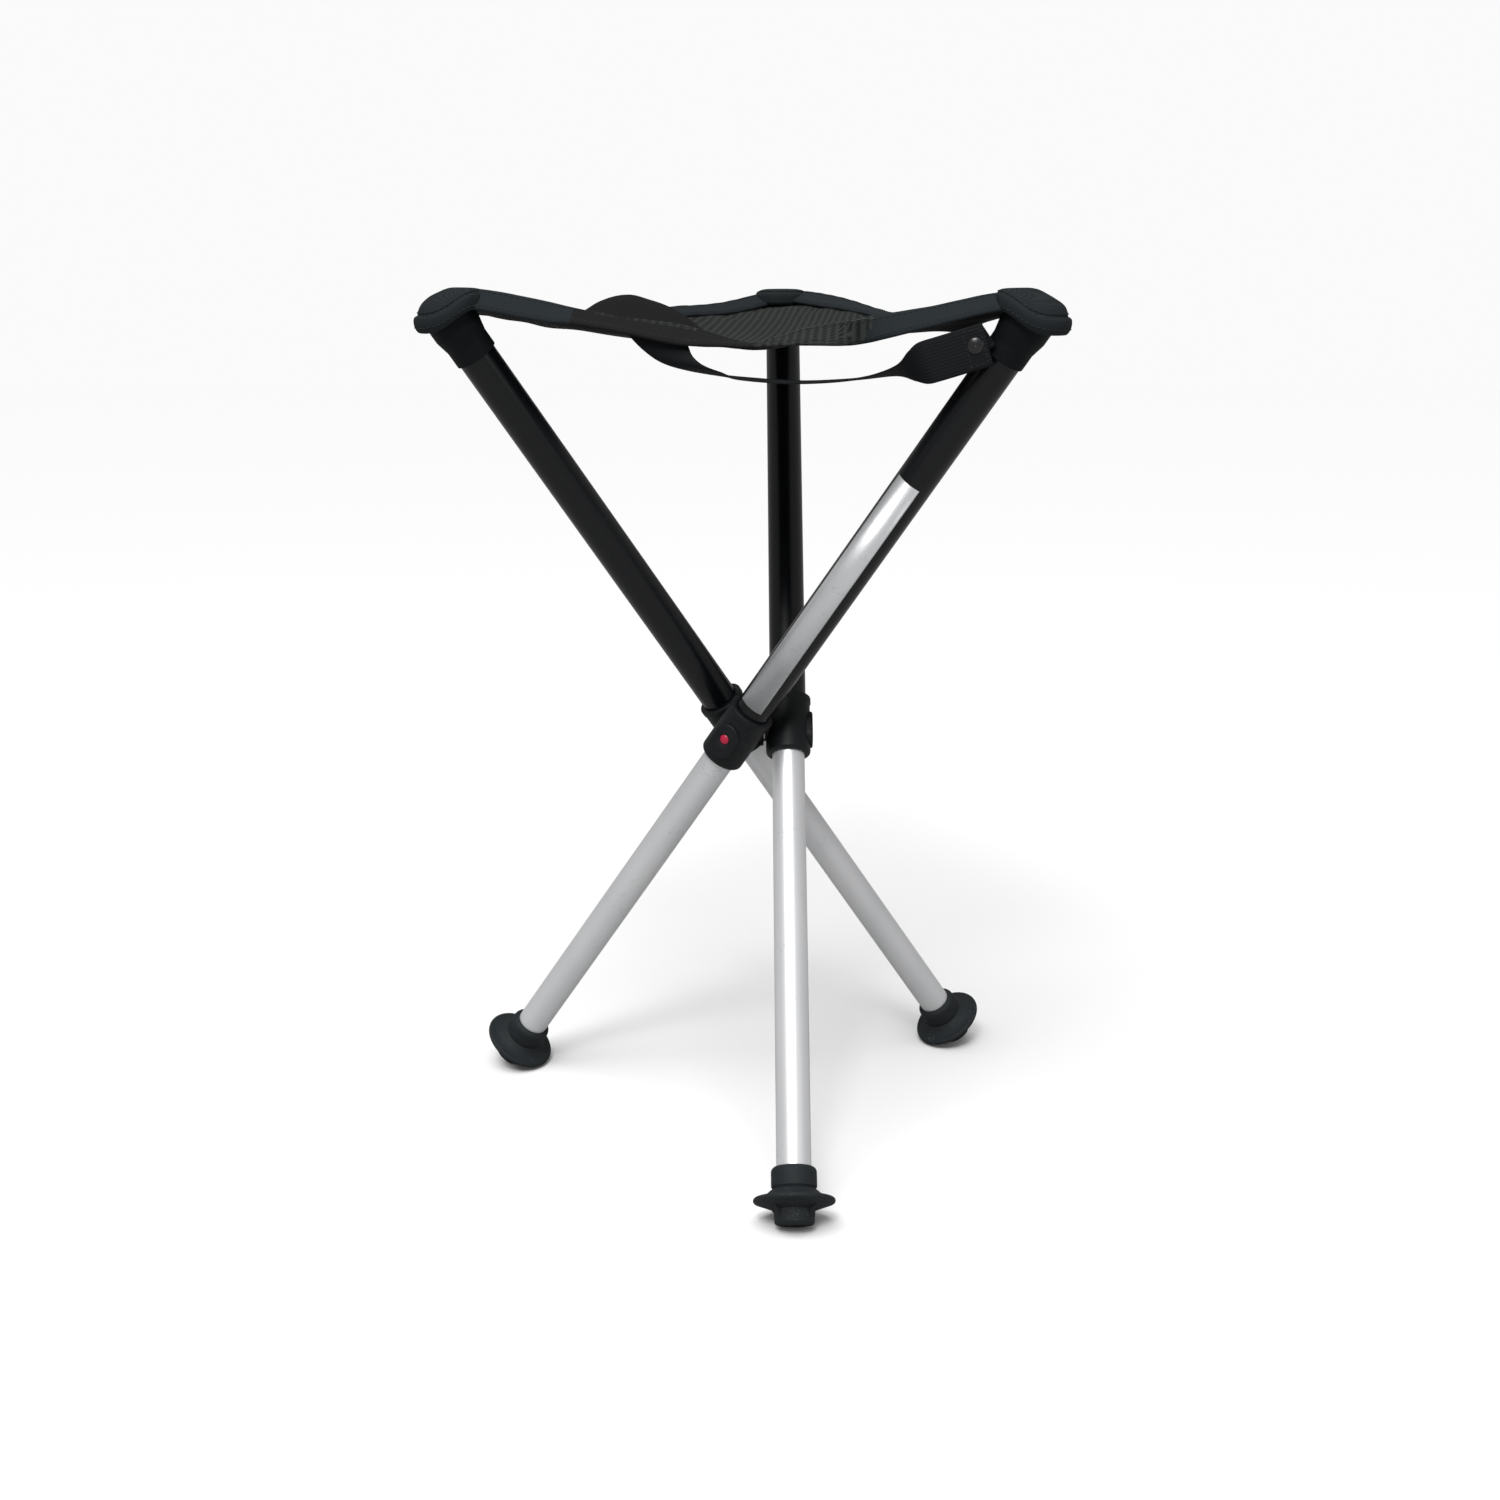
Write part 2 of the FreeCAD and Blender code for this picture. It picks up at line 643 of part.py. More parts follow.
def pocket_form(grow, thin=0.0):
    """The outside of a corner pocket, turned about an upright line at the leg's end."""
    r = POCKET_RADIUS + grow - thin
    top = POCKET_TOP + grow - thin
    low = -POCKET_DROOP - grow + thin
    edge = POCKET_EDGE - thin
    lip = POCKET_LIP + grow
    body = lathe(
        (0, low),
        (r - lip, low),
        (round_corner((r - lip, low + lip), lip, -45), (r, low + lip)),
        (r, top - edge),
        (round_corner((r - edge, top - edge), edge, 45), (r - edge, top)),
        (0, top),
    )
    body.translate(at_turn(END_RADIUS, END_TURN, END_Z))
    return body


def corner_pocket():
    """The rear corner's pocket: a hood of stout cloth over the leg's end cap."""
    hood = pocket_form(0).cut(pocket_form(0, POCKET_THICKNESS))
    cap_room = place(cap_form(CLOTH_GAP), "rear")
    below = Part.makeCylinder(
        POCKET_RADIUS - POCKET_THICKNESS - POCKET_LIP,
        POCKET_THICKNESS * 2,
        at_turn(END_RADIUS, END_TURN, END_Z - POCKET_DROOP - POCKET_THICKNESS),
    )
    return hood.cut([cap_room, below])


def corner_room():
    """The space over and under the pockets and round the legs' ends, where cloth stops."""
    rooms = []
    for leg in LEG_TURNS:
        well = Part.makeCylinder(
            POCKET_RADIUS + CLOTH_GAP, 2 * END_Z, at_turn(END_RADIUS, END_TURN)
        )
        rooms.append(around(well, leg))
        rooms.append(place(cap_form(2 * CLOTH_GAP), leg))
    return rooms


def seat_mesh():
    """The dished three-cornered panel."""
    out = -BINDING_THICKNESS / 2 - SEAM_GAP
    wire = Part.Wire([edge_arc(leg, out) for leg in LEG_TURNS])
    prism = Part.Face(wire).extrude(Vec(0, 0, 2 * END_Z))
    half = SEAT_MESH_THICKNESS / 2
    return prism.common(seat_shell(half, half)).cut(corner_room())


def binding(leg):
    """The folded band along the edge that runs from this leg's corner to the next."""
    half = BINDING_THICKNESS / 2
    inner = edge_arc(leg, -half)
    outer = edge_arc(leg, half)
    ends = [
        Part.makeLine(inner.Vertexes[i].Point, outer.Vertexes[i].Point) for i in (0, 1)
    ]
    wire = Part.Wire(Part.__sortEdges__([inner, outer] + ends))
    band = Part.Face(wire).extrude(Vec(0, 0, 2 * END_Z))
    tall = BINDING_HEIGHT / 2
    pieces = band.common(seat_shell(tall, tall)).cut(corner_room()).Solids
    return max(pieces, key=lambda piece: piece.Volume)


# Carrying strap


def by_front_edge(shape):
    """Carry a piece to the front edge's middle: X runs along it, and -Y outwards."""
    turn = LEG_TURNS["left"] + END_TURN + 60
    s = shape.copy()
    s.rotate(Vec(0, 0, 0), Z_AXIS, turn + 90)
    s.translate(at_turn(SEAT_EDGE_PULL, turn, seat_height(SEAT_EDGE_PULL)))
    return s


def strap_section(centre, run, across):
    """The webbing's cross-section at a station, for webbing that runs along run."""
    w = across.normalize() * (STRAP_WIDTH / 2)
    t = run.cross(across).normalize() * (STRAP_THICKNESS / 2)
    corners = [centre + w + t, centre - w + t, centre - w - t, centre + w - t]
    return Part.makePolygon(corners + corners[:1])


def carry_strap():
    """The webbing: it leaves the seat straight down, twists, and ends flat on the tab."""
    middles = [Vec(along, -out, up) for (along, out, up), _ in STRAP_STATIONS]
    ways = [Vec(along, -out, up) for _, (along, out, up) in STRAP_STATIONS]
    end = Vec(STRAP_END[0], middles[-1].y, STRAP_END[1])
    runs = [ways[0].cross(Y_AXIS) * -1]
    for before, after in zip(middles, middles[2:]):
        runs.append(after - before)
    runs.append(end - middles[-1])
    ways[-1] = runs[-1].cross(Y_AXIS)
    sections = [strap_section(*station) for station in zip(middles, runs, ways)]
    twisted = Part.makeLoft(sections, True)
    flat = Part.Face(sections[-1]).extrude(end - middles[-1])
    strap = twisted.fuse(flat).removeSplitter()
    return by_front_edge(strap.cut(snap_bar(SNAP_POST_D / 2 + PLAY)))


def strap_face():
    """How far outwards the outer face of the strap's end lies."""
    return STRAP_STATIONS[-1][0][1] + STRAP_THICKNESS / 2


def tab_back():
    """How far outwards the tab's inner face lies."""
    return strap_face() - STRAP_THICKNESS - SEAM_GAP - TAB_THICKNESS


def snap_bar(radius):
    """A round bar through the strap's end and the tab, where the snap sits."""
    length = 2 * STRAP_WIDTH
    return Part.makeCylinder(radius, length, Vec(SNAP_PLACE[0], length / 2, SNAP_PLACE[1]), -Y_AXIS)


def strap_tab():
    """The short tongue with a round end that hangs from the seat's right corner."""
    top = Vec(TAB_TOP[0], 0, TAB_TOP[1])
    end = Vec(TAB_END[0], 0, TAB_END[1])
    down = (end - top).normalize()
    side = down.cross(Y_AXIS) * (TAB_WIDTH / 2)
    wire = Part.Wire(
        [
            Part.makeLine(top - side, top + side),
            Part.makeLine(top + side, end + side),
            Part.Arc(end + side, end + down * (TAB_WIDTH / 2), end - side).toShape(),
            Part.makeLine(end - side, top - side),
        ]
    )
    tab = Part.Face(wire).extrude(Vec(0, -TAB_THICKNESS, 0))
    tab.translate(Vec(0, -tab_back(), 0))
    return by_front_edge(tab.cut(snap_bar(SNAP_POST_D / 2 + PLAY)))


def strap_snap():
    """The press stud: a low cap on the strap, a post through it, a ring behind the tab."""
    cap_low = strap_face() + FIT
    back = tab_back() - FIT
    cap_rim = cap_low + SNAP_RIM
    r = SNAP_D / 2
    snap = lathe(
        (0, back - SNAP_BACK_THICKNESS),
        (SNAP_BACK_D / 2, back - SNAP_BACK_THICKNESS),
        (r, back),
        (SNAP_POST_D / 2, back),
        (SNAP_POST_D / 2, cap_low),
        (r, cap_low),
        (r, cap_rim),
        dome(r, cap_rim, cap_rim + SNAP_DOME),
    )
    snap.rotate(Vec(0, 0, 0), X_AXIS, 90)
    snap.translate(Vec(SNAP_PLACE[0], 0, SNAP_PLACE[1]))
    return by_front_edge(snap)


def write(name, shape):
    """One STEP file for one named piece."""
    shape.exportStep("parts/" + name + ".step")


def main():
    os.makedirs("parts", exist_ok=True)
    leg_pieces = {
        "outer_tube": outer_tube(),
        "inner_tube": inner_tube(),
        "glide_bush": glide_bush(),
        "hub_sleeve": hub_sleeve(),
        "release_button": release_button(),
        "lock_spring": lock_spring(),
        "rubber_foot": rubber_foot(),
        "end_cap": end_cap(),
    }
    pocket = corner_pocket()
    screws = []
    washers = []
    for leg in LEG_TURNS:
        for name, shape in leg_pieces.items():
            piece = place(shape, leg)
            if name == "rubber_foot":
                piece = standing(piece)
            write(leg + "_" + name, piece)
        write(leg + "_corner_pocket", around(pocket, leg))
        upright = pivot_screw()
        upright.translate(Vec(LEG_OFFSET, 0, PIVOT_Z))
        screws.append(around(upright, leg))
        washer = pivot_washer()
        washer.translate(Vec(LEG_OFFSET, 0, PIVOT_Z))
        washers.append(around(washer, leg))
    write("hub_core", hub_core())
    write("pivot_screws", Part.makeCompound(screws))
    write("pivot_washers", Part.makeCompound(washers))
    write("seat_mesh", seat_mesh())
    for side, leg in {"left": "rear", "front": "left", "right": "right"}.items():
        write(side + "_binding", binding(leg))
    write("carry_strap", carry_strap())
    write("strap_tab", strap_tab())
    write("strap_snap", strap_snap())


main()
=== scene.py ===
import math

import bmesh
import bpy
from mathutils import Matrix, Vector


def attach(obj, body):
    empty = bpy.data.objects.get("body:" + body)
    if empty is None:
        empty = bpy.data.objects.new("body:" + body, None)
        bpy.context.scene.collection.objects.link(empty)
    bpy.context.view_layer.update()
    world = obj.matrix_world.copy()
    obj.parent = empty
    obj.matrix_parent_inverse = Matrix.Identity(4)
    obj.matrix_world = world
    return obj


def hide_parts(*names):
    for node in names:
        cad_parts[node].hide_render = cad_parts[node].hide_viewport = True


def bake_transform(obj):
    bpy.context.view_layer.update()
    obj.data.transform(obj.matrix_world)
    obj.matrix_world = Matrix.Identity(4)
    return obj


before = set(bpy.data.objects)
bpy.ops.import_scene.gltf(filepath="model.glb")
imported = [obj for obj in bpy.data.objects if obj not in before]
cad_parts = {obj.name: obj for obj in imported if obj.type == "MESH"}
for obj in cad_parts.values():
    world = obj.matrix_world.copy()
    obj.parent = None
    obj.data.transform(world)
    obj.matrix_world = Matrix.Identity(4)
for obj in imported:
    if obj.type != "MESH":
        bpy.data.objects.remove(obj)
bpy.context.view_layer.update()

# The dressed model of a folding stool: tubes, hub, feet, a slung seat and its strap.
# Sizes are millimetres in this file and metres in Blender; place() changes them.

MM = 0.001
MERGE_WITHIN = 1e-6  # metres

# The stool's main sizes, the same as in the model's source
LEG_TURNS = {"rear": 0.0, "left": 120.0, "right": 240.0}
LEG_TILT = 36.1
LEG_OFFSET = 23.0
PIVOT_Z = 267.603
TUBE_RADIUS = 12.0
CORNER_RADIUS = 198.71
CORNER_TURN = 83.35
EDGE_TURN = 60.0  # from a corner to the middle of the next edge
# The seat is a slack dish: its lowest point, and the radius of its sphere
SEAT_LOW = 517.3
SEAT_SPHERE = 684.0
# Its edges curve in to this far from the middle, and end at this far along
EDGE_PULL = 97.0
EDGE_CURVE = 3350.0
EDGE_END = 172.0

# The seat's cloth. It ends just inside its edge and lifts to the hem from this far in.
CLOTH_THICKNESS = 1.5
CLOTH_IN_HEM = 1.0
LIFT_REACH = 30.0
CLOTH_STEPS = 64
CLOTH_ROWS = 56
CLOTH_ROW_POWER = 0.9

# Soft creases along the hems: how far inside them and how wide, the wave along them
# with its start, its height, and where it fades out
CREASE_INSIDE = (16.0, 12.0)
CREASE_WAVE = (0.16, 1.3)
CREASE_HEIGHT = 0.7
CREASE_FADE = (110.0, 40.0)
# Folds that fan out from each corner: how many in a turn, their distance and reach
CORNER_FOLDS = 16
CORNER_FOLD_PLACE = (55.0, 32.0)
CORNER_FOLD_HEIGHT = 1.1

# The folded hem tape, which ends inside the hoods
HEM_WIDTH = 15.0
HEM_THICKNESS = 3.0
HEM_END = 156.0
HEM_STEPS = 84
HEM_SIDES = 20
# How boxy its section is, across and through: 1 is round, and less is boxier
HEM_BOXINESS = (0.55, 0.75)
# Its rolled edges: how much thicker, how far from its middle, and how wide
HEM_ROLL = (0.22, 6.0, 1.1)
# It swells a little between stitches: how much, the wave and its start, and its fade
HEM_SWELL = (0.10, 0.31, 0.7)
HEM_SWELL_FADE = (130.0, 20.0)
# Its two rows of stitches, and how far out of its face they lie, as a share
HEM_SEAMS = (5.0, -5.0)
HEM_SEAM_OUT = 1.12

# Each edge of the seat, named for its side, and the leg that it starts at
EDGE_STARTS = {"front": "left", "right": "right", "left": "rear"}
# Its hem from that leg to the next: places along the edge from its middle, and the
# heights where the hem's upper and lower sides are seen. Where they come close, the hem
# has turned into the cloth's plane.
HEM_ROWS = {
    "front": [
        (-172, 551.6, 541.4),
        (-150, 551.6, 539.2),
        (-112, 544.7, 532.6),
        (-96, 541.0, 531.2),
        (-70, 536.6, 527.0),
        (-48, 533.8, 522.4),
        (-32, 531.4, 519.4),
        (-10, 525.4, 518.4),
        (7, 520.8, 517.8),
        (22, 523.5, 518.6),
        (38, 528.7, 519.5),
        (68, 534.8, 519.8),
        (86, 537.8, 523.4),
        (114, 542.4, 530.4),
        (148, 549.6, 538.6),
        (172, 551.4, 541.8),
    ],
    "right": [
        (-172, 549.6, 541.0),
        (-130, 543.6, 535.6),
        (-80, 537.8, 530.6),
        (-30, 535.6, 529.4),
        (0, 535.6, 530.4),
        (20, 537.2, 533.4),
        (40, 539.6, 534.8),
        (60, 542.2, 536.2),
        (85, 544.9, 537.2),
        (110, 546.8, 538.4),
        (140, 548.4, 539.8),
        (172, 549.2, 540.6),
    ],
    "left": [
        (-172, 548.6, 540.6),
        (-150, 546.0, 537.8),
        (-110, 541.6, 533.4),
        (-80, 540.0, 532.0),
        (-55, 539.6, 531.8),
        (0, 537.4, 529.8),
        (80, 537.8, 530.4),
        (130, 542.8, 534.8),
        (172, 549.6, 541.0),
    ],
}
# The hem's upper side leans towards the seat's middle, or away from it
HEM_LEANS = {"front": -1, "right": 1, "left": 1}

# Near the front hem the cloth's underside is painted with the dark lining cloth as painted shade, out to
# this far inside the edge; the standing pleat there takes that cloth where it stands this high
SHADED_UNDERSIDE_WITHIN = 34.0
LINED_PLEAT = 2.0
# Where the front hem's face shows that lining, partly as painted shade on the hem's shadowed underside, and
# then the seat's own mesh. The mesh ends on a slant, and it also shows along the hem's upper edge for a
# while.
LINING_AND_SHADE_SHOWS = (-97.0, 12.0)
MESH_SHOWS = (12.0, 77.0)
MESH_SLANT = 0.9
MESH_EDGE_SHOWS = (-84.0, -24.0)
MESH_EDGE_ABOVE = 4.5
PALE_SEAM = (13.0, 76.0)
PALE_SEAM_INSIDE = 1.0
PALE_SEAM_STEPS = 60

# A standing pleat in the cloth behind the front hem, where the strap starts: places
# along the edge with its height there, and then how far inside the edge and how wide
PLEAT = [
    (-106, 0),
    (-92, 6.5),
    (-82, 13.0),
    (-64, 20.4),
    (-52, 19.4),
    (-39, 15.6),
    (-29, 11.4),
    (-16, 4.6),
    (-4, 0),
]
PLEAT_INSIDE = (12.0, 7.5)

# The slack behind the front hem's right part: its middle and its reach, along the
# edge and inside it
SAG_ALONG = (135.0, 30.0)
SAG_INSIDE = (15.0, 12.0)
SAG_DEPTH = 7.0

# Corner hood: its middle lies this far from the leg's end, towards the seat's middle.
# Each row has distances from there and heights, outwards, sideways and inwards.
HOOD_SHIFT = 4.0
HOOD_TOP = 552.4
HOOD_THICKNESS = 2.0
HOOD_COLUMNS = 112
HOOD_STEPS = 44
HOOD_PROFILE = [
    ((17.0, 528.4), (16.6, 538.6), (15.0, 543.0)),
    ((17.6, 526.2), (17.8, 536.6), (16.4, 541.0)),
    ((19.6, 526.4), (19.8, 536.8), (18.2, 541.2)),
    ((21.4, 528.8), (21.0, 539.2), (19.4, 543.0)),
    ((22.2, 532.2), (21.2, 542.4), (19.6, 545.8)),
    ((21.8, 535.0), (20.6, 545.2), (19.2, 548.6)),
    ((19.8, 536.4), (18.9, 546.8), (17.8, 550.2)),
    ((19.7, 538.2), (18.6, 548.0), (17.4, 551.0)),
    ((17.4, 542.8), (16.6, 549.8), (15.6, 551.8)),
    ((12.8, 547.3), (12.4, 551.3), (11.8, 552.3)),
    ((4.6, 551.3), (5.2, 552.2), (5.0, 552.5)),
]
# How far each hood's tip reaches out beyond that, and how much lower it all lies
HOOD_REACH = {"rear": 1.5, "left": 0.8, "right": 3.4}
HOOD_LOWER = {"rear": 2.2, "left": 0.0, "right": 0.0}
# The tip starts this far from the hood's middle, and has its full reach so much further
HOOD_TIP = (10.0, 8.0)
# Its rim is a little wavy: how far, how often, and about which height
HOOD_WAVE = (0.25, 9)
HOOD_WAVE_PLACE = (543.0, 5.0)
# The radius at which the pattern of its cloth runs round it
HOOD_GIRTH = 21.2
# Its two rows of stitches: where they lie in the profile, and how far they stand out
HOOD_SEAMS = [(3.1, 0.25), (6.9, 0.2)]

# Carrying strap: along the front edge, outwards and up from the edge's middle; the
# way its width lies; and its width. It hangs from the left and ends on the tab.
STRAP_ZERO = 524.18
STRAP_THICKNESS = 1.5
STRAP_STEPS = 150
STRAP_SIDES = 16
STRAP_BOXINESS = (0.4, 0.8)
STRAP_STATIONS = [
    ((-50.5, -2.6, 8.0), (1.0, 0.0, -0.02), 33),
    ((-48.5, -1.9, 2.0), (1.0, 0.02, -0.04), 33),
    ((-43.6, -0.6, -4.6), (1.0, 0.04, -0.04), 31),
    ((-38.4, 1.0, -10.4), (0.97, 0.25, 0.02), 27),
    ((-32.6, 2.8, -14.4), (0.85, 0.5, 0.05), 27),
    ((-24.0, 4.4, -17.6), (0.65, 0.75, 0.08), 26),
    ((-11.0, 5.0, -20.6), (0.35, 0.93, 0.08), 25),
    ((4.0, 4.6, -23.4), (0.05, 1.0, 0.0), 25),
    ((38.0, 3.4, -25.4), (0.0, 1.0, 0.0), 25),
    ((72.0, 4.6, -23.2), (0.0, 1.0, 0.05), 25),
    ((94.0, 7.8, -18.6), (-0.05, 0.96, 0.26), 25),
    ((103.0, 9.8, -16.0), (-0.2, 0.7, 0.7), 25),
    ((109.0, 10.6, -14.2), (-0.28, 0.25, 0.92), 25),
    ((114.0, 10.75, -12.7), (-0.29, 0.0, 0.96), 25),
    ((125.0, 10.75, -9.4), (-0.29, 0.0, 0.96), 25),
    ((136.0, 10.75, -6.0), (-0.29, 0.0, 0.96), 25),
    ((146.0, 10.75, -3.0), (-0.29, 0.0, 0.96), 25),
]
# Where along the edge it starts, is parted and ends; its two parts share this much
STRAP_PARTS = (-60.0, 0.0, 146.0)
STRAP_SHARED = 0.9

# The tab under the strap's end, along the front edge and up
TAB_TOP = (146.0, 3.0)
TAB_END = (123.0, -13.3)
TAB_WIDTH = 16.0
TAB_THICKNESS = 1.6
TAB_OUT = 9.0
TAB_ROUNDING = 0.5
TAB_SEAM_INSIDE = 1.6
TAB_END_STEPS = 16

# The square of stitches that holds the strap on the tab
BOX_MIDDLE = (139.0, -5.1)
BOX_ALONG = (0.957, 0.29)
BOX_ACROSS = (-0.29, 0.957)
BOX_CORNERS = [(-5, -10), (5, -10), (5, 10), (-5, 10), (-5, -10)]

# One stitch, in metres, and how far its thread stands out of the cloth in millimetres
STITCH_SIZES = {"Pitch": 0.0034, "Stitch Length": 0.0025, "Thread Radius": 0.00028}
STITCH_OUT = 0.1

# The bare silver strip on the right outer tube
STRIP_FROM = 28.0
STRIP_TO = 212.0
STRIP_HALF_ANGLE = 44.0
STRIP_THICKNESS = 0.12
STRIP_GAP = 0.02
STRIP_COLUMNS = 24

# The photo's camera
CAMERA_PLACE = (-12.08, -1244.05, 557.8)
CAMERA_TURN = (76.21, 0.0, -0.452)
CAMERA_LENS = 46.15
CAMERA_SENSOR = 36.0

# Light: how white the room looks and how much light it gives, a wide soft ceiling, and
# lamps with their position, target and size in metres and their power in watts
BACKDROP = 0.96
AMBIENT = 0.34
CEILING_STRENGTH = 2.4
CEILING_TURN = (24.0, -10.0, 0.0)
CEILING_SPREAD = 50.0
LAMPS = [
    ("Key", (-0.35, -2.0, 2.3), (0, 0, 0.35), 0.6, 24),
    ("Fill", (1.6, -1.4, 0.9), (0, 0, 0.3), 0.5, 2),
]
FLOOR_REACH = 9
FLOOR_SEEN = 0.93
FLOOR_REFLECTS = 0.4


# Small helpers


def bell(x, middle, width):
    """A smooth bump: 1 at its middle and fading to nothing beyond its width."""
    return math.exp(-(((x - middle) / width) ** 2))


def squared_off(value, power):
    """A sine or cosine brought nearer to 1 and -1, which makes a round section boxy."""
    return math.copysign(abs(value) ** power, value)


def polar(radius, degrees):
    a = math.radians(degrees)
    return Vector((radius * math.cos(a), radius * math.sin(a), 0.0))


def smooth_step(value, start, width):
    """Goes from 0 to 1 while the value goes from the start over the width."""
    t = min(max((value - start) / width, 0.0), 1.0)
    return t * t * (3 - 2 * t)


def between(rows, x):
    """Values at x on smooth curves through rows, whose first number is x."""
    if x <= rows[0][0]:
        return rows[0][1:]
    if x >= rows[-1][0]:
        return rows[-1][1:]
    i = max(k for k in range(len(rows) - 1) if rows[k][0] <= x)
    a, b = rows[i], rows[i + 1]
    before = rows[max(i - 1, 0)]
    after = rows[min(i + 2, len(rows) - 1)]
    width = b[0] - a[0]
    t = (x - a[0]) / width
    result = []
    for k in range(1, len(a)):
        slope_a = (b[k] - before[k]) / (b[0] - before[0])
        slope_b = (after[k] - a[k]) / (after[0] - a[0])
        result.append(
            (2 * t**3 - 3 * t**2 + 1) * a[k]
            + (t**3 - 2 * t**2 + t) * width * slope_a
            + (3 * t**2 - 2 * t**3) * b[k]
            + (t**3 - t**2) * width * slope_b
        )
    return result


def leg_matrix(leg):
    """From a leg drawn upright about its pivot to its place, in millimetres."""
    return (
        Matrix.Rotation(math.radians(LEG_TURNS[leg]), 4, "Z")
        @ Matrix.Translation((LEG_OFFSET, 0, PIVOT_Z))
        @ Matrix.Rotation(-math.radians(LEG_TILT), 4, "X")
    )


def grid(rows, columns, around=False):
    """Faces of a grid of points, given row by row."""
    faces = []
    last = columns if around else columns - 1
    for i in range(rows - 1):
        here = i * columns
        above = here + columns
        for j in range(last):
            k = (j + 1) % columns
            faces.append((here + j, here + k, above + k, above + j))
    return faces


def closed_tube(rows, sides):
    """Faces of a bar whose sections are given one by one, with its two ends."""
    faces = grid(rows, sides, around=True)
    faces.append(tuple(range(sides)))
    faces.append(tuple(range((rows - 1) * sides, rows * sides)))
    return faces


def add_to_scene(name, data):
    obj = bpy.data.objects.new(name, data)
    bpy.context.scene.collection.objects.link(obj)
    return obj


def place(name, points, faces, material, flat=None):
    """A finished mesh from points in millimetres, with its faces turned outwards."""
    mesh = bpy.data.meshes.new(name)
    mesh.from_pydata([Vector(p) * MM for p in points], [], faces)
    if flat:
        layer = mesh.uv_layers.new(name="UVMap")
        for loop in mesh.loops:
            layer.data[loop.index].uv = flat[loop.vertex_index]
    obj = add_to_scene(name, mesh)
    turn_outwards(mesh)
    mesh.materials.append(material)
    mesh.polygons.foreach_set("use_smooth", [True] * len(mesh.polygons))
    return obj


def turn_outwards(mesh):
    work = bmesh.new()
    work.from_mesh(mesh)
    bmesh.ops.remove_doubles(work, verts=work.verts, dist=MERGE_WITHIN)
    bmesh.ops.recalc_face_normals(work, faces=work.faces)
    work.to_mesh(mesh)
    work.free()


def settle(obj):
    """Gives a piece with modifiers the plain mesh that they make."""
    bpy.context.view_layer.update()
    ready = obj.evaluated_get(bpy.context.evaluated_depsgraph_get())
    mesh = bpy.data.meshes.new_from_object(ready)
    old = obj.data
    obj.modifiers.clear()
    obj.data = mesh
    bpy.data.meshes.remove(old)


def thicken(obj, thickness, offset):
    """Gives cloth its thickness: the offset is 0 for both sides, -1 for the inside."""
    solid = obj.modifiers.new("Thickness", "SOLIDIFY")
    solid.thickness = thickness * MM
    solid.offset = offset
    solid.use_even_offset = True
    settle(obj)


def follow_leg(obj):
    """Bakes the piece's placement into its mesh, which stays where it is."""
    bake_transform(obj)


def next_leg(leg, steps=1):
    order = list(LEG_TURNS)
    return order[(order.index(leg) + steps) % len(order)]


# Materials


def new_group(name, inputs, outputs):
    """An empty shader node group with named float or vector inputs and outputs."""
    group = bpy.data.node_groups.new(name, "ShaderNodeTree")
    for label, kind, value in inputs:
        socket = group.interface.new_socket(label, in_out="INPUT", socket_type=kind)
        if kind != "NodeSocketVector":
            socket.default_value = value
    for label, kind in outputs:
        group.interface.new_socket(label, in_out="OUTPUT", socket_type=kind)
    return group, group.nodes.new("NodeGroupInput"), group.nodes.new("NodeGroupOutput")


def feed(tree, socket, value):
    """Gives a socket its value, or links another socket to it."""
    if isinstance(value, bpy.types.NodeSocket):
        tree.links.new(value, socket)
    else:
        socket.default_value = value


def node(tree, kind, **inputs):
    """A shader node with its inputs by name."""
    made = tree.nodes.new(kind)
    for key, value in inputs.items():
        feed(tree, made.inputs[key], value)
    return made


def maths(tree, operation, *values):
    made = tree.nodes.new("ShaderNodeMath")
    made.operation = operation
    for i, value in enumerate(values):
        feed(tree, made.inputs[i], value)
    return made.outputs[0]


def noise(tree, vector, scale, detail):
    made = node(tree, "ShaderNodeTexNoise", Vector=vector, Scale=scale, Detail=detail)
    return made.outputs[0]


def blend_colour(tree, factor, a, b):
    made = tree.nodes.new("ShaderNodeMix")
    made.data_type = "RGBA"
    # A Mix node holds the sockets of all its kinds: these are the colour ones
    feed(tree, made.inputs[0], factor)
    feed(tree, made.inputs[6], a)
    feed(tree, made.inputs[7], b)
    return made.outputs[2]


def make_grain():
    """Fine moulded or sprayed grain: a height, and a soft uneven mask."""
    group, source, out = new_group(
        "fine grain",
        [
            ("Vector", "NodeSocketVector", None),
            ("Scale", "NodeSocketFloat", 900.0),
            ("Cloud Scale", "NodeSocketFloat", 40.0),
        ],
        [("Height", "NodeSocketFloat"), ("Cloud", "NodeSocketFloat")],
    )
    here = source.outputs["Vector"]
    fine = noise(group, here, source.outputs["Scale"], 2.0)
    cloud = noise(group, here, source.outputs["Cloud Scale"], 3.0)
    group.links.new(fine, out.inputs["Height"])
    group.links.new(cloud, out.inputs["Cloud"])
    return group


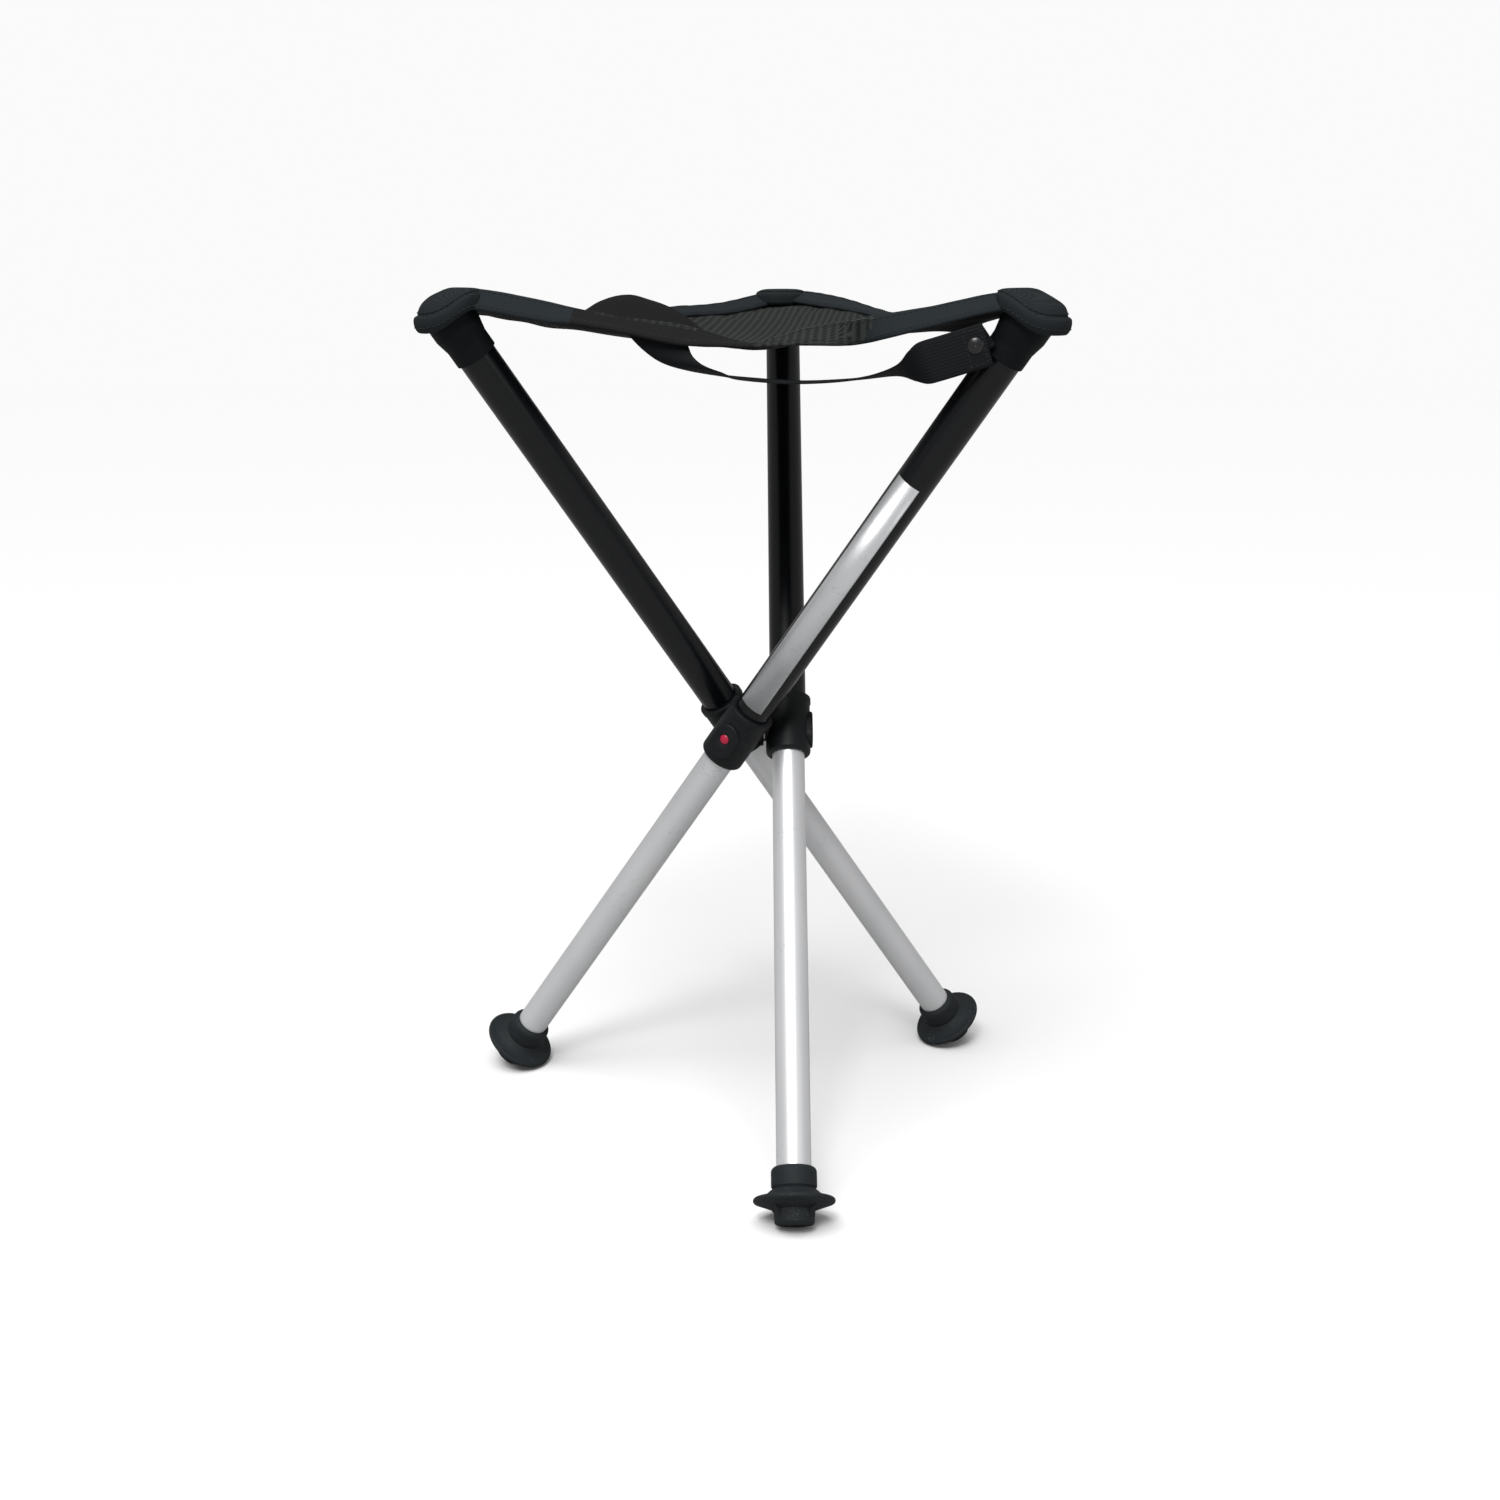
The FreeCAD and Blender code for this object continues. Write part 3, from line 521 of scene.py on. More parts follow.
def make_weave():
    """Crossing threads: cords along U at one pitch and across at another, and a mask of the open gaps
    between them for painted shade.
    """
    group, source, out = new_group(
        "woven threads",
        [
            ("Vector", "NodeSocketVector", None),
            ("Along Pitch", "NodeSocketFloat", 0.0015),
            ("Across Pitch", "NodeSocketFloat", 0.0015),
            ("Slant", "NodeSocketFloat", 0.0),
        ],
        [("Height", "NodeSocketFloat"), ("Gap Shade", "NodeSocketFloat")],
    )
    parts = node(group, "ShaderNodeSeparateXYZ", Vector=source.outputs["Vector"])
    slanted = maths(group, "MULTIPLY_ADD", parts.outputs[1], source.outputs["Slant"], parts.outputs[0])

    def thread(position, pitch):
        turns = maths(group, "MULTIPLY", maths(group, "DIVIDE", position, source.outputs[pitch]), math.tau)
        return maths(group, "MULTIPLY_ADD", maths(group, "SINE", turns), 0.5, 0.5)

    warp = thread(slanted, "Along Pitch")
    weft = thread(parts.outputs[1], "Across Pitch")
    height = maths(group, "MAXIMUM", warp, weft)
    gap_shade_mask = maths(group, "MULTIPLY", maths(group, "SUBTRACT", 1.0, warp), maths(group, "SUBTRACT", 1.0, weft))
    group.links.new(height, out.inputs["Height"])
    group.links.new(gap_shade_mask, out.inputs["Gap Shade"])
    return group


def make_wear():
    """Scuffs and dust: a broken mask from two sizes of noise."""
    group, source, out = new_group(
        "scuffs",
        [
            ("Vector", "NodeSocketVector", None),
            ("Scale", "NodeSocketFloat", 60.0),
            ("Amount", "NodeSocketFloat", 0.3),
        ],
        [("Mask", "NodeSocketFloat")],
    )
    here = source.outputs["Vector"]
    scale = source.outputs["Scale"]
    patch = noise(group, here, scale, 5.0)
    speck = noise(group, here, maths(group, "MULTIPLY", scale, 9.0), 2.0)
    both = maths(group, "MULTIPLY", patch, speck)
    limit = maths(group, "SUBTRACT", 0.42, maths(group, "MULTIPLY", source.outputs["Amount"], 0.3))
    mask = maths(group, "MULTIPLY", maths(group, "SUBTRACT", both, limit), 6.0)
    clamp = node(group, "ShaderNodeClamp", Value=mask)
    group.links.new(clamp.outputs[0], out.inputs["Mask"])
    return group


GRAIN = make_grain()
WEAVE = make_weave()
WEAR = make_wear()


def new_material(name):
    material = bpy.data.materials.new(name)
    material.use_nodes = True
    tree = material.node_tree
    return material, tree, tree.nodes["Principled BSDF"]


def use_group(tree, group, vector, **values):
    """A group in a material, with its values by name and _ for a space."""
    made = tree.nodes.new("ShaderNodeGroup")
    made.node_tree = group
    tree.links.new(vector, made.inputs["Vector"])
    for key, value in values.items():
        made.inputs[key.replace("_", " ")].default_value = value
    return made


def bump(tree, shader, height, strength, distance):
    made = node(tree, "ShaderNodeBump", Strength=strength, Distance=distance, Height=height)
    tree.links.new(made.outputs[0], shader.inputs["Normal"])


def hard_material(
    name, colour, worn, rough, metallic=0.0, grain=900.0, depth=0.00002, wear=0.25, shine=0.5
):
    """Paint, plastic, rubber or metal with a fine grain, uneven gloss and light scuffs."""
    material, tree, shader = new_material(name)
    here = tree.nodes.new("ShaderNodeTexCoord").outputs["Object"]
    fine = use_group(tree, GRAIN, here, Scale=grain, Cloud_Scale=35.0)
    scuffs = use_group(tree, WEAR, here, Scale=70.0, Amount=wear)
    mixed = blend_colour(tree, scuffs.outputs["Mask"], (*colour, 1), (*worn, 1))
    tree.links.new(mixed, shader.inputs["Base Color"])
    spread = maths(tree, "MULTIPLY_ADD", fine.outputs["Cloud"], 0.16, rough - 0.08)
    uneven = maths(tree, "MULTIPLY_ADD", scuffs.outputs["Mask"], 0.12, spread)
    tree.links.new(uneven, shader.inputs["Roughness"])
    bump(tree, shader, fine.outputs["Height"], 0.35, depth)
    shader.inputs["Metallic"].default_value = metallic
    shader.inputs["Specular IOR Level"].default_value = shine
    return material


def tube_material():
    """Satin anodised tube: fine drawn streaks that run up and down, and light scuffs."""
    material, tree, shader = new_material("silver anodised tube")
    here = tree.nodes.new("ShaderNodeTexCoord").outputs["Object"]
    drawn = node(tree, "ShaderNodeMapping", Vector=here)
    drawn.inputs["Scale"].default_value = (1.0, 1.0, 0.06)
    lines = use_group(tree, GRAIN, drawn.outputs[0], Scale=1400.0, Cloud_Scale=30.0)
    scuffs = use_group(tree, WEAR, here, Scale=55.0, Amount=0.22)
    tone = blend_colour(tree, lines.outputs["Cloud"], (0.70, 0.71, 0.72, 1), (0.80, 0.80, 0.81, 1))
    mixed = blend_colour(tree, scuffs.outputs["Mask"], tone, (0.60, 0.61, 0.62, 1))
    tree.links.new(mixed, shader.inputs["Base Color"])
    satin = maths(tree, "MULTIPLY_ADD", lines.outputs["Height"], 0.12, 0.32)
    tree.links.new(satin, shader.inputs["Roughness"])
    bump(tree, shader, lines.outputs["Height"], 0.12, 0.00001)
    shader.inputs["Metallic"].default_value = 0.55
    return material


def cloth_material(
    name, colour, raised_lit, along, across, slant=0.0, depth=0.0003, gap_shade_amount=0.0, use_uv=True
):
    """Cloth with visible threads at two pitches in millimetres, and a little colour drift. Its raised
    threads are painted lighter and its sunken ones darker as painted light and shade, and its open gaps are
    painted near black as painted shade.
    """
    material, tree, shader = new_material(name)
    coords = tree.nodes.new("ShaderNodeTexCoord")
    here = coords.outputs["UV"] if use_uv else coords.outputs["Object"]
    threads = use_group(tree, WEAVE, here, Along_Pitch=along * MM, Across_Pitch=across * MM, Slant=slant)
    fuzz = use_group(tree, GRAIN, coords.outputs["Object"], Scale=2200.0, Cloud_Scale=28.0)
    # Sunken threads are painted darker as painted shade, and raised ones lighter as painted light
    sunk_shaded = [c * 0.55 for c in colour]
    threads_lit_and_shaded = blend_colour(tree, threads.outputs["Height"], (*sunk_shaded, 1), (*raised_lit, 1))
    drift = blend_colour(tree, maths(tree, "MULTIPLY", fuzz.outputs["Cloud"], 0.5), threads_lit_and_shaded, (*colour, 1))
    # The open gaps of the weave are painted near black as painted shade
    gap_shade_share = maths(tree, "MULTIPLY", threads.outputs["Gap Shade"], gap_shade_amount)
    dark = blend_colour(tree, gap_shade_share, drift, (0.004, 0.004, 0.005, 1))
    tree.links.new(dark, shader.inputs["Base Color"])
    shader.inputs["Roughness"].default_value = 0.85
    shader.inputs["Specular IOR Level"].default_value = 0.12
    height = maths(tree, "MULTIPLY_ADD", fuzz.outputs["Height"], 0.25, threads.outputs["Height"])
    bump(tree, shader, height, 0.6, depth)
    return material


BLACK_TUBE = hard_material(
    "black powder coat",
    (0.002, 0.0025, 0.0035),
    (0.012, 0.013, 0.015),
    rough=0.27,
    grain=700.0,
    wear=0.1,
    shine=0.34,
)
MOULDING = hard_material(
    "black hub moulding",
    (0.006, 0.007, 0.008),
    (0.02, 0.022, 0.024),
    rough=0.50,
    grain=1200.0,
    depth=0.00004,
    shine=0.22,
)
CAP = hard_material(
    "black end cap",
    (0.004, 0.005, 0.006),
    (0.012, 0.013, 0.014),
    rough=0.62,
    grain=1000.0,
    depth=0.00004,
    shine=0.12,
)
BUSH = hard_material("grey nylon bush", (0.08, 0.08, 0.09), (0.12, 0.12, 0.13), rough=0.55)
RUBBER = hard_material(
    "grey rubber foot",
    (0.014, 0.017, 0.019),
    (0.05, 0.054, 0.058),
    rough=0.68,
    grain=500.0,
    depth=0.00005,
    shine=0.2,
)
BUTTON = hard_material(
    "red button",
    (0.45, 0.008, 0.045),
    (0.52, 0.05, 0.09),
    rough=0.30,
    grain=400.0,
    depth=0.00001,
    wear=0.1,
)
STEEL = hard_material(
    "zinc plated steel", (0.55, 0.55, 0.54), (0.42, 0.41, 0.40), rough=0.34, metallic=1.0, wear=0.3
)
SPRING = hard_material(
    "spring steel", (0.50, 0.50, 0.49), (0.30, 0.29, 0.28), rough=0.30, metallic=1.0, wear=0.3
)
SNAP = hard_material("black press stud", (0.010, 0.010, 0.011), (0.05, 0.05, 0.052), rough=0.28, wear=0.2)
SILVER_STRIP = hard_material(
    "bare silver strip",
    (0.66, 0.67, 0.68),
    (0.50, 0.51, 0.53),
    rough=0.36,
    metallic=0.5,
    grain=300.0,
    depth=0.00001,
    wear=0.3,
)
SILVER_TUBE = tube_material()
# The seat mesh's weave carries painted light and shade, with its open gaps painted near black as painted
# shade
SEAT_CLOTH = cloth_material(
    "ribbed seat mesh",
    (0.018, 0.020, 0.019),
    (0.036, 0.039, 0.037),
    along=5.0,
    across=0.95,
    slant=-0.18,
    depth=0.0007,
    gap_shade_amount=0.5,
    use_uv=False,
)
HEM_CLOTH = cloth_material(
    "slate hem tape",
    (0.014, 0.018, 0.021),
    (0.021, 0.026, 0.029),
    along=0.9,
    across=0.9,
    slant=1.0,
    depth=0.00015,
)
HOOD_CLOTH = cloth_material(
    "slate hood cloth",
    (0.013, 0.016, 0.018),
    (0.020, 0.024, 0.026),
    along=1.0,
    across=1.0,
    slant=0.5,
    depth=0.00018,
)
WEBBING = cloth_material(
    "black webbing", (0.007, 0.0075, 0.009), (0.012, 0.013, 0.015), along=1.3, across=1.9, depth=0.00035
)
TAB_CLOTH = cloth_material(
    "black tab cloth", (0.004, 0.004, 0.006), (0.008, 0.008, 0.010), along=0.8, across=0.8, depth=0.0002
)
# Dark lining cloth; it also serves as painted shade on the seat cloth's underside near the front hem and on
# part of the front hem's face
LINING_AND_SHADE = cloth_material(
    "black lining and painted shade",
    (0.009, 0.009, 0.009),
    (0.015, 0.015, 0.015),
    along=0.9,
    across=0.9,
    slant=0.4,
    depth=0.00015,
)
PALE_THREAD = hard_material(
    "pale thread",
    (0.07, 0.075, 0.07),
    (0.09, 0.095, 0.09),
    rough=0.75,
    grain=4000.0,
    depth=0.00005,
    shine=0.2,
)
THREAD = hard_material(
    "charcoal thread",
    (0.022, 0.026, 0.029),
    (0.04, 0.044, 0.048),
    rough=0.75,
    grain=4000.0,
    depth=0.00005,
    shine=0.2,
)


# Stitches


def make_stitch_tree():
    """A row of short stitches along the edges of the mesh it is given."""
    tree = bpy.data.node_groups.new("row of stitches", "GeometryNodeTree")
    face = tree.interface
    face.new_socket("Path", in_out="INPUT", socket_type="NodeSocketGeometry")
    for label, value in STITCH_SIZES.items():
        face.new_socket(label, in_out="INPUT", socket_type="NodeSocketFloat").default_value = value
    face.new_socket("Thread", in_out="INPUT", socket_type="NodeSocketMaterial")
    face.new_socket("Stitches", in_out="OUTPUT", socket_type="NodeSocketGeometry")
    source = tree.nodes.new("NodeGroupInput")
    out = tree.nodes.new("NodeGroupOutput")
    path = tree.nodes.new("GeometryNodeMeshToCurve")
    spaced = tree.nodes.new("GeometryNodeResampleCurve")
    spaced.mode = "LENGTH"
    tangent = tree.nodes.new("GeometryNodeInputTangent")
    turn = tree.nodes.new("FunctionNodeAlignRotationToVector")
    turn.axis = "Z"
    bead = tree.nodes.new("GeometryNodeMeshUVSphere")
    bead.inputs["Segments"].default_value = 6
    bead.inputs["Rings"].default_value = 4
    bead.inputs["Radius"].default_value = 1.0
    size = tree.nodes.new("ShaderNodeCombineXYZ")
    half = tree.nodes.new("ShaderNodeMath")
    half.operation = "MULTIPLY"
    half.inputs[1].default_value = 0.5
    shaped = tree.nodes.new("GeometryNodeTransform")
    copies = tree.nodes.new("GeometryNodeInstanceOnPoints")
    real = tree.nodes.new("GeometryNodeRealizeInstances")
    coloured = tree.nodes.new("GeometryNodeSetMaterial")
    link = tree.links.new
    link(source.outputs["Path"], path.inputs[0])
    link(path.outputs[0], spaced.inputs["Curve"])
    link(source.outputs["Pitch"], spaced.inputs["Length"])
    link(tangent.outputs[0], turn.inputs["Vector"])
    link(source.outputs["Stitch Length"], half.inputs[0])
    link(source.outputs["Thread Radius"], size.inputs[0])
    link(source.outputs["Thread Radius"], size.inputs[1])
    link(half.outputs[0], size.inputs[2])
    link(bead.outputs["Mesh"], shaped.inputs["Geometry"])
    link(size.outputs[0], shaped.inputs["Scale"])
    link(spaced.outputs[0], copies.inputs["Points"])
    link(shaped.outputs[0], copies.inputs["Instance"])
    link(turn.outputs[0], copies.inputs["Rotation"])
    link(copies.outputs[0], real.inputs[0])
    link(real.outputs[0], coloured.inputs["Geometry"])
    link(source.outputs["Thread"], coloured.inputs["Material"])
    link(coloured.outputs[0], out.inputs["Stitches"])
    return tree


STITCHES = make_stitch_tree()


def stitch_rows(name, rows, thread=THREAD):
    """Stitches along rows of points in millimetres, as one plain mesh."""
    mesh = bpy.data.meshes.new(name)
    points = []
    edges = []
    for row in rows:
        start = len(points)
        points += [Vector(p) * MM for p in row]
        edges += [(start + i, start + i + 1) for i in range(len(row) - 1)]
    mesh.from_pydata(points, edges, [])
    obj = add_to_scene(name, mesh)
    modifier = obj.modifiers.new("Stitches", "NODES")
    modifier.node_group = STITCHES
    sockets = {s.name: s.identifier for s in STITCHES.interface.items_tree if s.in_out == "INPUT"}
    for label, value in STITCH_SIZES.items():
        modifier[sockets[label]] = value
    modifier[sockets["Thread"]] = thread
    settle(obj)
    if not obj.data.materials:
        obj.data.materials.append(thread)
    return obj


# The seat's surface


def edge_ways(edge):
    """The way along an edge of the seat, and the way out from it."""
    turn = LEG_TURNS[EDGE_STARTS[edge]] + CORNER_TURN + EDGE_TURN
    return polar(1, turn + 90), polar(1, turn)


def edge_point(edge, s, out=0.0):
    along, away = edge_ways(edge)
    return along * s + away * (EDGE_PULL + s * s / EDGE_CURVE + out)


def edge_place(edge, x, y):
    """How far along an edge a point lies, and how far inside it."""
    along, away = edge_ways(edge)
    here = Vector((x, y, 0))
    s = max(-EDGE_END, min(EDGE_END, here.dot(along)))
    return s, EDGE_PULL + s * s / EDGE_CURVE - here.dot(away)


def dish(x, y):
    return SEAT_LOW + SEAT_SPHERE - math.sqrt(SEAT_SPHERE**2 - x * x - y * y)


def hem_place(edge, s):
    """The hem's middle at a place along an edge, and its turn in radians."""
    top, bottom = between(HEM_ROWS[edge], s)
    upright = (top - bottom - HEM_THICKNESS) / (HEM_WIDTH - HEM_THICKNESS)
    p = edge_point(edge, s)
    return Vector((p.x, p.y, (top + bottom) / 2)), math.acos(min(max(upright, 0.0), 1.0))


def pleat(s, inside):
    """How far the pleat by the front hem lifts the cloth."""
    return between(PLEAT, s)[0] * bell(inside, *PLEAT_INSIDE)


def cloth_height(x, y):
    """The seat cloth's height: a slack dish, lifted to its hems, with soft creases."""
    z = dish(x, y)
    for edge in HEM_ROWS:
        s, inside = edge_place(edge, x, y)
        rim, turn = hem_place(edge, s)
        sewn = rim.z - CLOTH_THICKNESS
        if HEM_LEANS[edge] > 0:
            sewn = rim.z - math.cos(turn) * HEM_WIDTH / 2
        p = edge_point(edge, s)
        z += (sewn - dish(p.x, p.y)) * bell(inside, 0, LIFT_REACH)
        wave = math.sin(s * CREASE_WAVE[0] + CREASE_WAVE[1])
        crease = bell(inside, *CREASE_INSIDE) * wave * CREASE_HEIGHT
        z += crease * (1 - smooth_step(abs(s), *CREASE_FADE))
        if edge == "front":
            z += pleat(s, inside)
            z -= SAG_DEPTH * bell(s, *SAG_ALONG) * bell(inside, *SAG_INSIDE)
    for leg in LEG_TURNS:
        corner = polar(CORNER_RADIUS, LEG_TURNS[leg] + CORNER_TURN)
        reach = math.hypot(x - corner.x, y - corner.y)
        way = math.atan2(y - corner.y, x - corner.x)
        z += math.sin(way * CORNER_FOLDS) * CORNER_FOLD_HEIGHT * bell(reach, *CORNER_FOLD_PLACE)
    return z


def seat_sector(leg):
    """A third of the seat's cloth, from the middle to one leg's corner."""
    ending = next(edge for edge, first in EDGE_STARTS.items() if first == next_leg(leg, -1))
    starting = next(edge for edge, first in EDGE_STARTS.items() if first == leg)
    rim = []
    for i in range(CLOTH_STEPS + 1):
        rim.append(edge_point(ending, HEM_END * i / CLOTH_STEPS, -CLOTH_IN_HEM))
    for i in range(CLOTH_STEPS + 1):
        rim.append(edge_point(starting, -HEM_END * (1 - i / CLOTH_STEPS), -CLOTH_IN_HEM))
    points = [Vector((0, 0, cloth_height(0, 0)))]
    faces = []
    columns = len(rim)
    for i in range(1, CLOTH_ROWS + 1):
        t = (i / CLOTH_ROWS) ** CLOTH_ROW_POWER
        for p in rim:
            x, y = p.x * t, p.y * t
            points.append(Vector((x, y, cloth_height(x, y))))
    for j in range(columns - 1):
        faces.append((0, 1 + j, 2 + j))
    for face in grid(CLOTH_ROWS, columns):
        faces.append(tuple(k + 1 for k in face))
    obj = place("seat_cloth_" + leg, points, faces, SEAT_CLOTH)
    thicken(obj, CLOTH_THICKNESS, 0.0)
    obj.data.materials.append(LINING_AND_SHADE)
    # Underside faces near the front hem take the dark lining cloth as painted shade, and faces of the
    # standing pleat take it too
    for face in obj.data.polygons:
        here = face.center / MM
        s, inside = edge_place("front", here.x, here.y)
        under = face.normal.z < 0 and inside < SHADED_UNDERSIDE_WITHIN
        if under or pleat(s, inside) > LINED_PLEAT:
            face.material_index = 1
    return obj


def hem_section(edge, s):
    """The hem's middle, its way across and its way out of its face, at a place."""
    p, turn = hem_place(edge, s)
    ahead, _ = hem_place(edge, s + 1)
    back, _ = hem_place(edge, s - 1)
    tangent = (ahead - back).normalized()
    away = tangent.cross(Vector((0, 0, 1))).normalized()
    up = away.cross(tangent).normalized()
    lean = HEM_LEANS[edge]
    across = up * math.cos(turn) + away * (lean * math.sin(turn))
    face = up * math.sin(turn) - away * (lean * math.cos(turn))
    return p, across, face


def hem_half(edge, leg, start, end):
    """The folded hem tape along half an edge, with its two rows of stitches."""
    points = []
    flat = []
    rows = [[], []]
    wide_box, thick_box = HEM_BOXINESS
    roll_size, roll_place, roll_width = HEM_ROLL
    swell_size, swell_wave, swell_start = HEM_SWELL
    for i in range(HEM_STEPS + 1):
        s = start + (end - start) * i / HEM_STEPS
        p, across, face = hem_section(edge, s)
        fade = 1 - smooth_step(abs(s), *HEM_SWELL_FADE)
        swell = 1 + swell_size * math.sin(s * swell_wave + swell_start) * fade
        for k in range(HEM_SIDES):
            a = math.tau * k / HEM_SIDES
            w = squared_off(math.cos(a), wide_box) * HEM_WIDTH / 2
            t = squared_off(math.sin(a), thick_box) * HEM_THICKNESS / 2
            roll = 1 + roll_size * bell(abs(w), roll_place, roll_width)
            points.append(p + across * w + face * t * roll * swell)
            flat.append((s * MM, (w + t) * MM))
        for row, w in zip(rows, HEM_SEAMS):
            row.append(p + across * w + face * (HEM_THICKNESS / 2 * HEM_SEAM_OUT * swell))
    faces = closed_tube(HEM_STEPS + 1, HEM_SIDES)
    hem = place("hem_" + edge + "_" + leg, points, faces, HEM_CLOTH, flat)
    if edge == "front":
        show_other_cloth(hem)
    sewing = stitch_rows("hem_stitches_" + edge + "_" + leg, rows)
    return hem, sewing


def mesh_seam():
    """The pale seam where the front hem has turned over and shows the seat's mesh."""
    first, last = PALE_SEAM
    across_by = HEM_WIDTH / 2 - PALE_SEAM_INSIDE
    row = []
    for i in range(PALE_SEAM_STEPS + 1):
        p, across, face = hem_section("front", first + (last - first) * i / PALE_SEAM_STEPS)
        row.append(p + across * across_by + face * (HEM_THICKNESS / 2 + STITCH_OUT))
    return stitch_rows("mesh_seam", [row], PALE_THREAD)


def show_other_cloth(hem):
    """Faces of the front hem where it has turned over show the lining, partly as painted shade, and others
    show the mesh.
    """
    hem.data.materials.append(LINING_AND_SHADE)
    hem.data.materials.append(SEAT_CLOTH)
    places = hem.data.uv_layers.active.data
    for face in hem.data.polygons:
        s = sum(places[k].uv.x for k in face.loop_indices) / face.loop_total / MM
        w = sum(places[k].uv.y for k in face.loop_indices) / face.loop_total / MM
        mesh_edge = w > MESH_EDGE_ABOVE and MESH_EDGE_SHOWS[0] < s < MESH_EDGE_SHOWS[1]
        if mesh_edge or MESH_SHOWS[0] < s < MESH_SHOWS[1] + MESH_SLANT * w:
            face.material_index = 2
        # The lining on the hem here is partly painted shade
        elif LINING_AND_SHADE_SHOWS[0] < s < LINING_AND_SHADE_SHOWS[1]:
            face.material_index = 1


def hood_place(leg, row, way):
    """A hood row's distance and height, at an angle from outwards."""
    c = math.sin(math.cos(math.radians(way)) * math.pi / 2)
    shares = ((c * c + c) / 2, 1 - c * c, (c * c - c) / 2)
    d, z = (sum(share * row[i][k] for i, share in enumerate(shares)) for k in (0, 1))
    tip = max(math.cos(math.radians(way)), 0) ** 2 * smooth_step(d, *HOOD_TIP)
    return d + HOOD_REACH[leg] * tip, z - HOOD_LOWER[leg]


def hood(leg):
    """The corner's hood: a sloping dome over the leg's end, with a thick rolled rim."""
    outward = LEG_TURNS[leg] + CORNER_TURN
    middle = polar(CORNER_RADIUS - HOOD_SHIFT, outward)
    wave_size, waves = HOOD_WAVE
    points = [Vector((middle.x, middle.y, HOOD_TOP - HOOD_LOWER[leg]))]
    flat = [(0.0, 0.0)]
    seams = [[] for _ in HOOD_SEAMS]
    for j in range(HOOD_COLUMNS):
        way = 360 * j / HOOD_COLUMNS
        table = [(float(k), *hood_place(leg, row, way)) for k, row in enumerate(HOOD_PROFILE)]
        for i in range(HOOD_STEPS + 1):
            d, z = between(table, (len(table) - 1) * i / HOOD_STEPS)
            d += wave_size * math.sin(math.radians(way * waves)) * bell(z, *HOOD_WAVE_PLACE)
            p = middle + polar(d, outward + way)
            points.append(Vector((p.x, p.y, z)))
            flat.append((math.radians(way) * HOOD_GIRTH * MM, (z + 0.5 * d) * MM))
        for seam, (k, proud) in zip(seams, HOOD_SEAMS):
            d, z = between(table, k)
            p = middle + polar(d + proud, outward + way)
            seam.append(Vector((p.x, p.y, z)))
    faces = []
    length = HOOD_STEPS + 1
    for j in range(HOOD_COLUMNS):
        here = 1 + j * length
        beside = 1 + ((j + 1) % HOOD_COLUMNS) * length
        for i in range(HOOD_STEPS):
            faces.append((here + i, here + i + 1, beside + i + 1, beside + i))
        faces.append((here + HOOD_STEPS, 0, beside + HOOD_STEPS))
    obj = place("hood_" + leg, points, faces, HOOD_CLOTH, flat)
    thicken(obj, HOOD_THICKNESS, -1.0)
    for seam in seams:
        seam.append(seam[0])
    sewing = stitch_rows("hood_stitches_" + leg, seams)
    return obj, sewing


# Strap and tab


def by_edge(along, out, up):
    """A point given along, outwards and up from the front edge's middle."""
    way, away = edge_ways("front")
    p = way * along + away * (EDGE_PULL + out)
    return Vector((p.x, p.y, STRAP_ZERO + up))


def strap_rows():
    """Places along the edge, middles, ways across and widths at even steps of the strap."""
    table = []
    for i, (middle, across, width) in enumerate(STRAP_STATIONS):
        table.append((float(i), *middle, *across, width))
    origin = by_edge(0, 0, 0)
    rows = []
    for i in range(STRAP_STEPS + 1):
        row = between(table, (len(table) - 1) * i / STRAP_STEPS)
        middle = by_edge(*row[0:3])
        across = (by_edge(*row[3:6]) - origin).normalized()
        rows.append((row[0], middle, across, row[6]))
    return rows


def strap_part(name, first, last):
    """Webbing between two places along the edge, with firm rolled edges."""
    rows = [row for row in strap_rows() if first - STRAP_SHARED <= row[0] <= last + STRAP_SHARED]
    wide_box, thick_box = STRAP_BOXINESS
    points = []
    flat = []
    run = 0.0
    for i, (_, middle, across, width) in enumerate(rows):
        before = rows[max(i - 1, 0)][1]
        after = rows[min(i + 1, len(rows) - 1)][1]
        through = (after - before).cross(across).normalized()
        run += (middle - before).length
        for k in range(STRAP_SIDES):
            a = math.tau * k / STRAP_SIDES
            w = squared_off(math.cos(a), wide_box) * width / 2
            t = squared_off(math.sin(a), thick_box) * STRAP_THICKNESS / 2
            points.append(middle + across * w + through * t)
            flat.append((run * MM, w * MM))
    return place(name, points, closed_tube(len(rows), STRAP_SIDES), WEBBING, flat)


